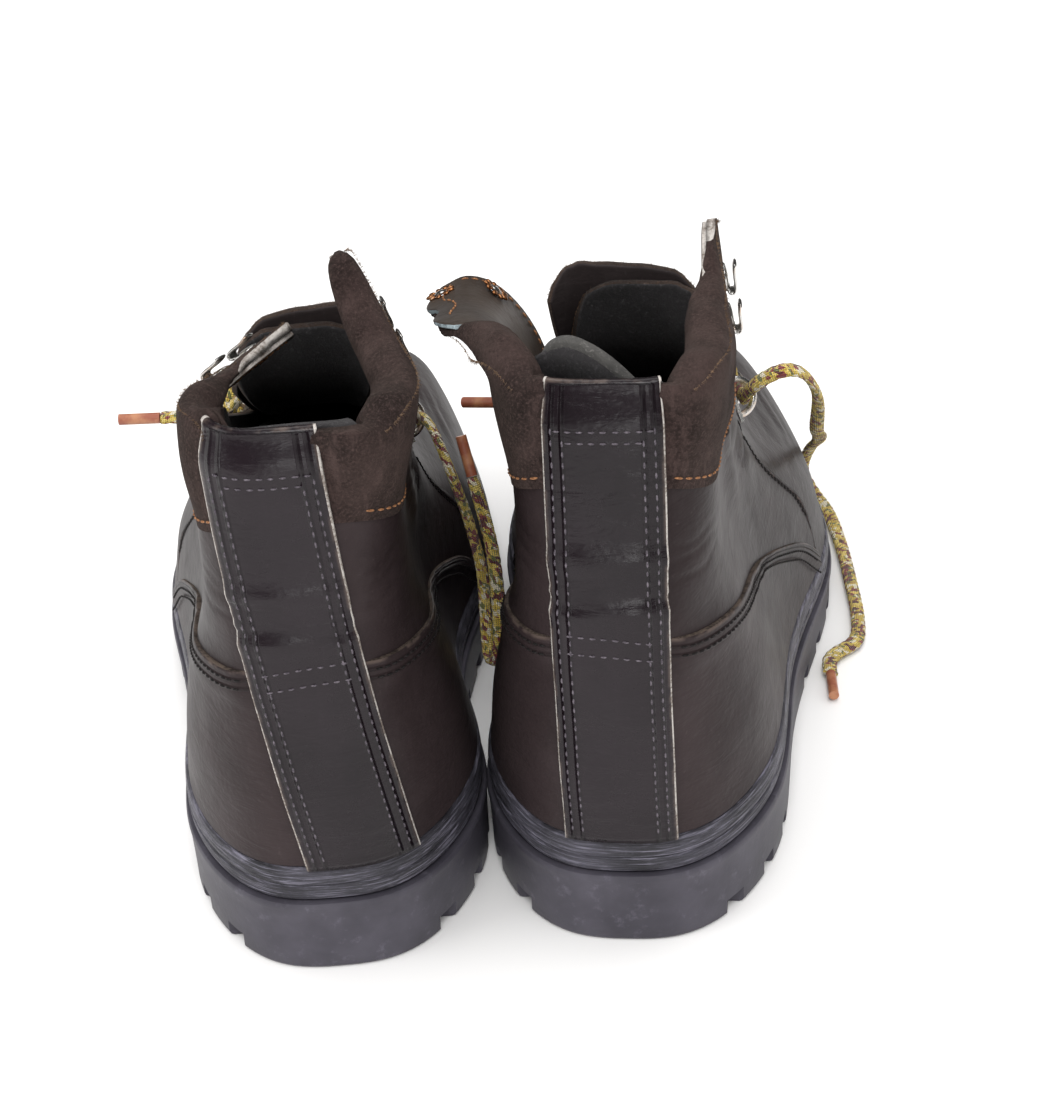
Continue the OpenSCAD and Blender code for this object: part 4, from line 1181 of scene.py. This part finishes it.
def collar(boot, side):
    """Suede collar and ear in one: a padded roll round the ankle's back, thin and raw-edged up at the ear."""
    angles = side_angles(0.3, 127.5, 1.9, 0.85, side)
    b = np.abs(angles)
    wobble = 0.004 * np.sin(b * 0.45) + 0.0015 * np.sin(b * 1.1 + 1)
    hi = ear_top(boot, angles) + wobble * smooth(b, 70, 90)
    hi = hi - 0.12 * under_strip(boot, topline(angles), angles)

    def relief(v, a):
        t = np.clip((v - collar_seam(a)) / np.maximum(wall_top(a) - collar_seam(a), 0.05), 0, 1.4)
        puff = 3.6 * np.sin(math.pi * np.clip(t, 0, 1) / 2) ** 1.2 * padding(boot, a)
        crease = wave_lines(v, a, [0.80, 0.86], 84, 14, 0.7, 0.012, 0.9)
        return puff + crease + 1.1 * ripple(v, a, 3.0 + side) * smooth(v, 0.72, 0.8)

    depth = 6.2 * padding(boot, angles)[:, None] * smooth(b, 16, 30)[:, None]
    sheet = Sheet(boot, angles, collar_seam(angles), hi, 1.9, LAYER1 - 0.15, LEATHER, relief, side=side,
                  edges="lh", flat_inside=True)
    top = np.clip((hi[:, None] - sheet.v) * boot.mm_per_level(sheet.v, sheet.a) / 5.5, 0, 1)
    swell = depth * smooth(sheet.v, collar_seam(sheet.a) + 0.03, collar_seam(sheet.a) + 0.12)
    round_off = (1 - np.sqrt(1 - (1 - top) ** 2)) * (depth + 3) / 2
    face = sheet.d_out - sheet.height(sheet.v, sheet.a, sheet.near)
    sheet.outer = boot.point(sheet.v, sheet.a, face + round_off * np.minimum(1, depth), side)
    inner = LAYER1 + LEATHER - 0.15 + swell - round_off * np.minimum(1, depth)
    sheet.inner = boot.point(sheet.v, sheet.a, np.maximum(inner, face + round_off + 0.8), side)
    name = side_name(side)
    rim = "raw" if boot.folds[side] < 100 else "suede"
    piece = sheet.build(f"collar_{name}_suede", faces_of("suede", rim, "suede"), rim_width=0,
                        plain=padding(boot, sheet.a) > 0.12)
    ear_blend(piece, boot, side)
    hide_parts(f"{boot.name}_collar", f"{boot.name}_collar_foam", f"{boot.name}_ear_{name}")
    a = np.linspace(18, 118, 120) * side
    seam = seam_run(sheet, a, boot.below(collar_seam(a), a, -3.0))
    edge = np.linspace(24, 126, 140) * side
    rim = np.interp(np.abs(edge), b[::side], hi[::side])
    return [seam], [seam_run(sheet, edge, rim - 1.0 / boot.mm_per_level(topline(edge), edge))]


def ear_facing(boot, side):
    """The smooth inner face of an ear, sewn to the suede along its edges."""
    curled = boot.folds[side] > 100
    angles = side_angles(66 if curled else 74, 127, 1.8, 0.85, side)
    lo = fold_line(angles) - 0.02
    hi = ear_top(boot, angles) + (0.004 if curled else -0.006 - 0.03 * (1 - smooth(np.abs(angles), 74, 82)))
    depth, thick = LAYER2 - 0.25, LEATHER - 0.3
    sheet = Sheet(boot, angles, lo, hi, 1.8, depth, thick, side=side, edge=0.6)
    name = side_name(side)
    rim = "raw_blue" if curled else "raw"
    piece = sheet.build(f"ear_facing_{name}_leather", faces_of("suede", rim, "facing"))
    ear_blend(piece, boot, side)
    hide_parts(f"{boot.name}_ear_facing_{name}")

    def inside(a, v):
        v, a = np.broadcast_arrays(np.asarray(v, float), np.asarray(a, float))
        p = boot.point(v, a, np.full(v.shape, depth + thick), side)
        return boot.row(p, p - boot.point(v, a, np.full(v.shape, depth + thick - 1.0), side))

    a = np.linspace(80, 124.5, 60) * side
    top_row = inside(a, ear_top(boot, a) - 0.030)
    up = np.linspace(0.02, 0.93, 40)
    edge = np.full(40, 123.5 * side)
    front = inside(edge, fold_line(edge) + (ear_top(boot, edge) - 0.03 - fold_line(edge)) * up)
    return [top_row, front]


def lining(boot):
    """The dark lining; its padded top edge rises behind the strip."""
    half = ring_angles(0, 168, 3.2, 0.5)
    angles = np.concatenate([-half[:0:-1], half])
    b = np.abs(angles)
    throat = curve([(110, 0.75), (126, 0.60), (142, 0.52), (160, 0.45), (180, 0.43)], b)
    sunk = 0.004 + 0.075 * padding(boot, angles) * smooth(b, 16, 30)
    top = np.where(b < 118, wall_top(angles) - sunk, throat)

    def relief(v, a):
        reach = smooth(v, wall_top(a) - 0.10, wall_top(a)) * (1 - smooth(np.abs(a), 90, 110))
        return reach * 1.9 + 0.8 * ripple(v, a, 4.2)

    sheet = Sheet(boot, angles, np.full_like(angles, 0.012), top, 3.0, LAYER3 - 0.2, 2.4, relief, edge=1.1,
                  flat_inside=True)
    piece = sheet.build("lining_felt", faces_of("lining", "lining", "lining"), rim_width=3)
    finish_piece(piece, boot, "lining_fabric", "lining")


# The middle of the worn rim, in the boot frame
ROLL_PATH = [(-15, -26, 165.5), (-13, -25.5, 169.5), (-9, -24.5, 171.3), (-4, -22.5, 170.2),
             (1, -20, 167.8), (6, -17, 164.4), (11, -13.5, 160.5)]


def felt_roll(boot):
    """The worn inner rim that stands away from the backstay, behind a dark hollow."""
    path = smooth_path(ROLL_PATH, 8)
    up = (0, 0.25, 0.97)
    roll = band(f"{boot.name}_collar_roll", boot, [(path, up)], M["roll"], 3.2, 3.0)
    finish_piece(roll, boot, "lining_fabric")
    under = [(path + np.array([0, -0.6, -8.0]), up)]
    below = band(f"{boot.name}_collar_roll_wall", boot, under, M["lining"], 15.0, 1.8)
    finish_piece(below, boot, "lining_fabric")


def tongue(boot):
    """Leather outside, felt inside, with thick worn edges."""
    tilt = 0.09 if boot.name == "left" else 0.07
    start, end = [tuple(boot.place(boot.skin(np.array(v), np.array(180.0)))) for v in (0.685, 0.745)]

    def layer(name, depth, thick, a0, low, high, lean, materials, nodes, slot, edge, shift):
        angles = front_angles(a0, 2.2, 0.75)
        k = (180 - angles) / (180 - a0)
        arch = 0.02 - 0.11 * np.abs(k - shift) ** 2.4 + 0.0015 * np.sin(angles * 0.7)
        hi = high + arch - lean * (1 + k) / 2

        def relief(v, a):
            b = (180 - a) / (180 - a0)
            return 0.9 * ripple(v, a, 5.0 + depth) + 0.6 * np.cos(b * 4) * smooth(v, 0.7, 0.85)

        sheet = Sheet(boot, angles, np.full_like(angles, low), hi, 2.2, depth, thick, relief, edge=edge)
        piece = sheet.build(name, faces_of(*materials), rim_width=2)
        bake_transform(piece)
        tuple(start)
        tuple(end)
        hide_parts(*[f"{boot.name}_{n}" for n in nodes])
        inside = np.linspace(a0 + 1, 359 - a0, 120)
        at = np.interp(inside, angles, hi)
        rim = seam_run(sheet, inside, at - 0.004)
        fuzz = fibres(f"{boot.name}_{name}_fuzz", [rim], M["nap"], 1.5, 0.7, 5)
        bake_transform(fuzz)
        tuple(start)
        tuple(end)

    layer("tongue_leather", LAYER1 + 0.6, 2.0, 146, 0.46, 0.885, tilt, ("tongue", "brown_felt", "tongue"),
          ("gusset", "tongue"), "tongue_leather", 0.9, -0.1)
    layer("tongue_felt", LAYER2 + 0.6, 2.6, 149, 0.50, 0.868, tilt, ("lining", "brown_felt", "lining"),
          ("tongue_lining",), "lining_fabric", 1.2, 0.3)


def footbed(boot):
    """The loose insole: a felt sheet with a rounded edge, dished at the heel."""
    outline = sole_outline(-(4 * STEP + 4.6), 160)
    outline = outline[(-outline[:, 1] > 9)]
    centre = outline.mean(axis=0)
    rings = []
    for share, drop in ((0.15, 0), (0.35, 0), (0.55, 0), (0.75, 0), (0.9, 0), (0.97, 0.3), (1.0, 1.0),
                        (1.0, 3.2), (0.97, 3.9)):
        xy = centre + (outline - centre) * share
        dish = 0.8 * (share ** 2 - 1) * smooth(xy[:, 1], -110, -40)
        rings.append(np.column_stack([xy, feather(-xy[:, 1]) + 9.1 + dish - drop]))
    faces = turned(ring_faces(len(rings), len(outline)), boot.mirror > 0)
    piece = make_mesh(f"{boot.name}_footbed_sheet", boot.place(np.concatenate(rings)), faces, [M["footbed"]])
    finish_piece(piece, boot, "footbed_felt", "footbed", body=f"{boot.name}_insert")


# ---------------------------------------------------------------- laces
LOOP_LEVEL, LOOP_ANGLE = (0.515, 0.555, 0.60), (146.0, 137.0, 129.0)
LOOP_DROP, LOOP_SET, LOOP_RISE = 0.045, 2.0, 1.0
LACE_LIFT, LACE_RISE = LACE_D / 2 + 1.3, 1.4
CROSS_BOW, CROSS_SKEW = 0.085, 0.7


def loop_foot(side, k):
    return LOOP_LEVEL[k] - LOOP_DROP, side * (LOOP_ANGLE[k] - LOOP_SET)


def loop_centre(boot, side, k):
    v, a = loop_foot(side, k)
    return boot.deep(v, a, LAYER1) + skin_normal(v, a, boot.sag) * (LOOP_RISE + LACE_RISE + LACE_D / 2)


def through_loop(boot, side, k):
    """The straight stretch inside a loop: up the throat's edge, square to the vamp's normal."""
    edge = [boot.deep(LOOP_LEVEL[i], side * LOOP_ANGLE[i], LAYER1) for i in (0, 2)]
    n = skin_normal(*loop_foot(side, k), boot.sag)
    run = edge[1] - edge[0]
    run = unit(run - n * (run @ n)) * 4.5
    centre = loop_centre(boot, side, k)
    return [centre - run, centre + run]


def crossing(boot, side, k, h):
    """Points above the vamp from loop k on the given side to loop k + 1 on the other."""
    a0, a1 = LOOP_ANGLE[k] - LOOP_SET, 360 - LOOP_ANGLE[k + 1] + LOOP_SET
    level = lambda u: (LOOP_LEVEL[k] - LOOP_DROP + (LOOP_LEVEL[k + 1] - LOOP_LEVEL[k]) * u
                       + CROSS_BOW * math.sin(math.pi * u ** CROSS_SKEW))
    return [boot.deep(level(u), side * (a0 + (a1 - a0) * u), LAYER1 - LACE_LIFT - h * math.sin(math.pi * u))
            for u in (0.2, 0.4, 0.6, 0.8)]


def strand(boot, side, h):
    """A lace strand from the middle of the lowest bar, crossing over twice to the top loop."""
    low = LOOP_LEVEL[0] - LOOP_DROP - 0.04
    bar = [boot.deep(low, side * a, LAYER1 - LACE_LIFT) for a in (179.4, 170, 158)]
    return (bar + through_loop(boot, side, 0) + crossing(boot, side, 0, h) + through_loop(boot, -side, 1)
            + crossing(boot, -side, 1, h) + through_loop(boot, side, 2))


# Free lace ends in the boot frame, from the top loop outwards
LACE_ENDS = {
    ("left", 1): [(31, -119, 110), (36, -120.5, 111), (42, -121, 111)],
    ("left", -1): [(-35, -106, 110), (-40, -98, 98), (-44, -98, 81), (-46.5, -97, 65), (-46.5, -92, 50),
                   (-47, -86, 41), (-49.5, -84, 44), (-50.5, -89, 56), (-49.8, -97, 74), (-46, -105, 92)],
    ("right", 1): [(34, -117, 112), (41, -115, 117), (47, -119, 114), (51, -128, 102), (50.5, -160, 74),
                   (51, -200, 50), (50.5, -222, 36), (47.5, -238, 24), (44.8, -250, 9), (48, -247, 2.6),
                   (54, -231, 2.2), (58.5, -208, 2.2), (61.5, -185, 2.2), (63.5, -166, 2.2), (63, -151, 2.2),
                   (56.5, -143, 2.2), (54.5, -138, 2.2), (55, -132, 2.2)],
    ("right", -1): [(-31, -118, 108), (-36, -115, 107), (-41, -117, 106)],
}


# ---------------------------------------------------------------- hooks
HOOK_LEVEL, HOOK_ANGLE = (0.92, 0.84), (119.0, 119.5)
INNER_SEAT = -3.8


def hook_frame(boot, side, k):
    """Foot of hook k on an ear's outer face: the point, the outward normal, down the ear and along it."""
    v, a = HOOK_LEVEL[k], side * HOOK_ANGLE[k]

    def at(v, a, d=LAYER1):
        return boot.point(np.array(v), np.array(a), np.array(float(d)), side)

    p = at(v, a)
    e = unit(at(v - 0.01, a) - at(v + 0.01, a))
    n = unit(np.cross(e, at(v, a + 0.5) - at(v, a - 0.5)))
    if n @ (p - at(v, a, LAYER1 + 1)) < 0:
        n = -n
    return p, n, e, np.cross(n, e)


def blobs(name, boot, items, material):
    """Smooth ellipsoids in one mesh; each item is a centre and three half axes, in the boot frame."""
    points, faces = [], []
    rings, around = 7, 12
    for centre, axes in items:
        start = len(points)
        for i in range(rings):
            polar = math.pi * (i + 0.5) / rings
            for k in range(around):
                turn = 2 * math.pi * k / around
                points.append(centre + axes[0] * math.sin(polar) * math.cos(turn)
                              + axes[1] * math.sin(polar) * math.sin(turn) + axes[2] * math.cos(polar))
        faces += turned(ring_faces(rings, around, start), True)
    return make_mesh(f"{boot.name}_{name}", boot.place(np.array(points)), faces, [material])


def band(name, boot, items, material, width, thick):
    """Flat bands with rounded edges in one mesh; each item is a path and the direction of its width."""
    points, faces, around = [], [], 12
    turn = 2 * math.pi * np.arange(around)[:, None] / around
    square = lambda w: np.sign(w) * np.abs(w) ** 0.6
    wide, high = square(np.cos(turn)) * width / 2, square(np.sin(turn)) * thick / 2
    for path, across in items:
        forward = unit(np.gradient(path, axis=0))
        flat = unit(np.asarray(across) - forward * (forward @ np.asarray(across))[:, None])
        up = np.cross(forward, flat)
        n, start = len(path), len(points)
        taper = np.full(n, 1.0)
        taper[[0, -1]] = 0.6
        for i in range(n):
            ring = flat[i] * wide + up[i] * high
            points.extend(path[i] + ring * taper[i])
        faces += ring_faces(n, around, start)
    return make_mesh(name, boot.place(np.array(points)), faces, [material])


# A hook's tongue seen from the side, as (down the ear, out from it) in mm
HOOK_SHAPE = [(2.6, 0.9), (4.0, 1.1), (4.5, 1.9), (3.9, 2.7), (2.2, 3.0), (-0.5, 3.0), (-3.0, 3.2),
              (-4.0, 3.7)]


def hooks(boot, side):
    """Low lace hooks: a round base and a flat tongue bent back over it."""
    bases, tongues = [], []
    for k in range(2):
        p, n, e, f = hook_frame(boot, side, k)
        bases.append((p + n * 0.45, (e * 4.1, f * 3.5, n * 0.85)))
        bases.append((p + n * INNER_SEAT, (e * 3.3, f * 3.3, n * 0.4)))
        path = smooth_path([p + e * y + n * z for y, z in HOOK_SHAPE], 4)
        tongues.append((path, f))
    name = side_name(side)
    base = blobs(f"hook_bases_{name}", boot, bases, M["nickel"])
    top = band(f"{boot.name}_hook_tongues_{name}", boot, tongues, M["nickel"], 4.6, 0.95)
    finish_piece(base, boot, "hardware", f"hooks_{name}", body=boot.ear(side))
    finish_piece(top, boot, "hardware", body=boot.ear(side))


def rosettes(boot, side):
    """The flower-shaped rivet ends on an ear's inner face, and a dome under each hook."""
    petals, domes = [], []
    for k in range(2):
        p, n, e, f = hook_frame(boot, side, k)
        base = p + n * INNER_SEAT
        for i in range(9):
            turn = 2 * math.pi * i / 9
            out = e * math.cos(turn) + f * math.sin(turn)
            petals.append((base + out * 3.0 - n * 0.1, (out * 1.25, np.cross(n, out) * 0.85, -n * 0.55)))
        domes.append((base, (e * 1.7, f * 1.7, -n * 0.8)))
    for label, items, material in (("petals", petals, M["copper"]), ("domes", domes, M["nickel"])):
        piece = blobs(f"hook_{label}_{side_name(side)}", boot, items, material)
        finish_piece(piece, boot, "hardware", body=boot.ear(side))


def laces(boot):
    twist = [(0, 0), (150, 1.2), (300, 2.8), (450, 4.0)]
    for side, h in ((1, 0), (-1, 2 * LACE_D)):
        path = smooth_path(strand(boot, side, h) + [np.array(p) for p in LACE_ENDS[boot.name, side]], 12)
        piece = tube(f"lace_{side_name(side)}", boot, path, LACE_WIDTH, LACE_THICK, M["lace"], twist)
        finish_piece(piece, boot, "lace_cord", *(["lace"] if side > 0 else []))


def keep_cad(boot):
    """CAD nodes whose shape is right get their material."""
    for node, material in (("insole_board", "board"), ("shank", "steel"), ("toe_puff", "stiff"),
                           ("heel_counter", "stiff"), ("loops_outer", "nickel"), ("loops_inner", "nickel"),
                           ("aglets", "aglet")):
        piece = frame["nodes"][f"{boot.name}_{node}"]
        piece.data.materials.clear()
        piece.data.materials.append(M[material])


def build_boot(boot):
    outsole(boot)
    midsole(boot)
    dark_runs = vamp(boot) + foxing(boot) + quarter(boot, 1) + quarter(boot, -1)
    piece = stitch_mesh(f"{boot.name}_panel_stitching", dark_runs, M["dark_thread"], 2.2, 0.7, 2.9)
    finish_piece(piece, boot, "upper_leather")
    piece = stitch_mesh(f"{boot.name}_backstay_stitching", backstay(boot), M["pale_thread"], 1.7, 0.62, 2.9)
    finish_piece(piece, boot, "backstay_leather")
    for side in (1, -1):
        name = side_name(side)
        seam, tip = collar(boot, side)
        piece = stitch_mesh(f"{boot.name}_collar_stitching_{name}", seam, M["tan_thread"], 2.6, 0.7, 3.6)
        finish_piece(piece, boot, "collar_suede")
        rows = ear_facing(boot, side)
        piece = stitch_mesh(f"{boot.name}_ear_stitching_{name}", rows, M["tan_thread"], 2.2, 0.7, 3.2)
        ear_blend(piece, boot, side)
        piece = fibres(f"{boot.name}_ear_fuzz_{name}", tip, M["nap"], 1.3, 0.6, 4)
        ear_blend(piece, boot, side)
        hooks(boot, side)
        rosettes(boot, side)
    lining(boot)
    if boot is RIGHT:
        felt_roll(boot)
    tongue(boot)
    footbed(boot)
    laces(boot)
    keep_cad(boot)


for boot in BOOTS:
    build_boot(boot)


# ---------------------------------------------------------------- the studio
# Name, place in metres, size in metres, power in watts
LIGHTS = (("key", (-0.08, 1.1, 1.35), 0.5, 10), ("fill", (1.2, 0.5, 0.8), 0.8, 6),
          ("top", (0.0, -0.3, 1.7), 1.0, 9), ("low", (-0.05, 1.3, 0.27), 0.24, 1.8))


def studio():
    """A pale floor, an even pale surround that glossy leather hardly mirrors, and four lights."""
    bpy.ops.mesh.primitive_plane_add(size=6, location=(0, 0, -0.0003))
    floor = bpy.context.object
    floor.name = "floor"
    s = Shader("pale_floor")
    tone = s.mix(s.noise(3, 2), (0.93, 0.925, 0.92), (0.95, 0.945, 0.94))
    floor.data.materials.append(s.surface(Base_Color=tone, Roughness=0.8, Specular_IOR_Level=0.2))
    world = bpy.data.worlds.new("studio")
    bpy.context.scene.world = world
    world.use_nodes = True
    nodes, links = world.node_tree.nodes, world.node_tree.links
    nodes["Background"].inputs[0].default_value = (1.0, 0.99, 0.98, 1)
    path = nodes.new("ShaderNodeLightPath")
    level = nodes.new("ShaderNodeMapRange")
    level.inputs["To Min"].default_value = 0.94
    level.inputs["To Max"].default_value = 0.05
    links.new(path.outputs["Is Glossy Ray"], level.inputs["Value"])
    links.new(level.outputs["Result"], nodes["Background"].inputs[1])
    for name, place, size, power in LIGHTS:
        light = bpy.data.objects.new(name, bpy.data.lights.new(name, "AREA"))
        light.data.size = size
        light.data.energy = power
        light.location = place
        light.rotation_euler = (Vector((0, 0, 0.08)) - Vector(place)).to_track_quat("-Z", "Y").to_euler()
        bpy.context.scene.collection.objects.link(light)


CAMERA_FROM_HEELS = (-0.04765, 0.5324, 0.448)
CAMERA_TURN, CAMERA_DROP, CAMERA_ROLL = -0.051, 0.538, -0.068
CAMERA_LENS = 83.3


def camera():
    """Looks down from behind the heels, a little from the left boot's side."""
    flat = math.cos(CAMERA_DROP)
    ahead = Vector((-math.sin(CAMERA_TURN) * flat, -math.cos(CAMERA_TURN) * flat, -math.sin(CAMERA_DROP)))
    level = Vector((-math.cos(CAMERA_TURN), math.sin(CAMERA_TURN), 0))
    above = level.cross(ahead)
    c, s = math.cos(CAMERA_ROLL), math.sin(CAMERA_ROLL)
    right, up = level * c + above * s, above * c - level * s
    cam = bpy.data.objects.new("camera", bpy.data.cameras.new("camera"))
    cam.data.lens = CAMERA_LENS
    cam.data.sensor_width = 36
    heels = Vector((LEFT.origin + RIGHT.origin) * MM / 2)
    turn = Matrix((right, up, -ahead)).transposed().to_4x4()
    cam.matrix_world = Matrix.Translation(heels + Vector(CAMERA_FROM_HEELS)) @ turn
    bpy.context.scene.collection.objects.link(cam)
    bpy.context.scene.camera = cam


studio()
camera()
bpy.context.scene.view_settings.view_transform = "Standard"
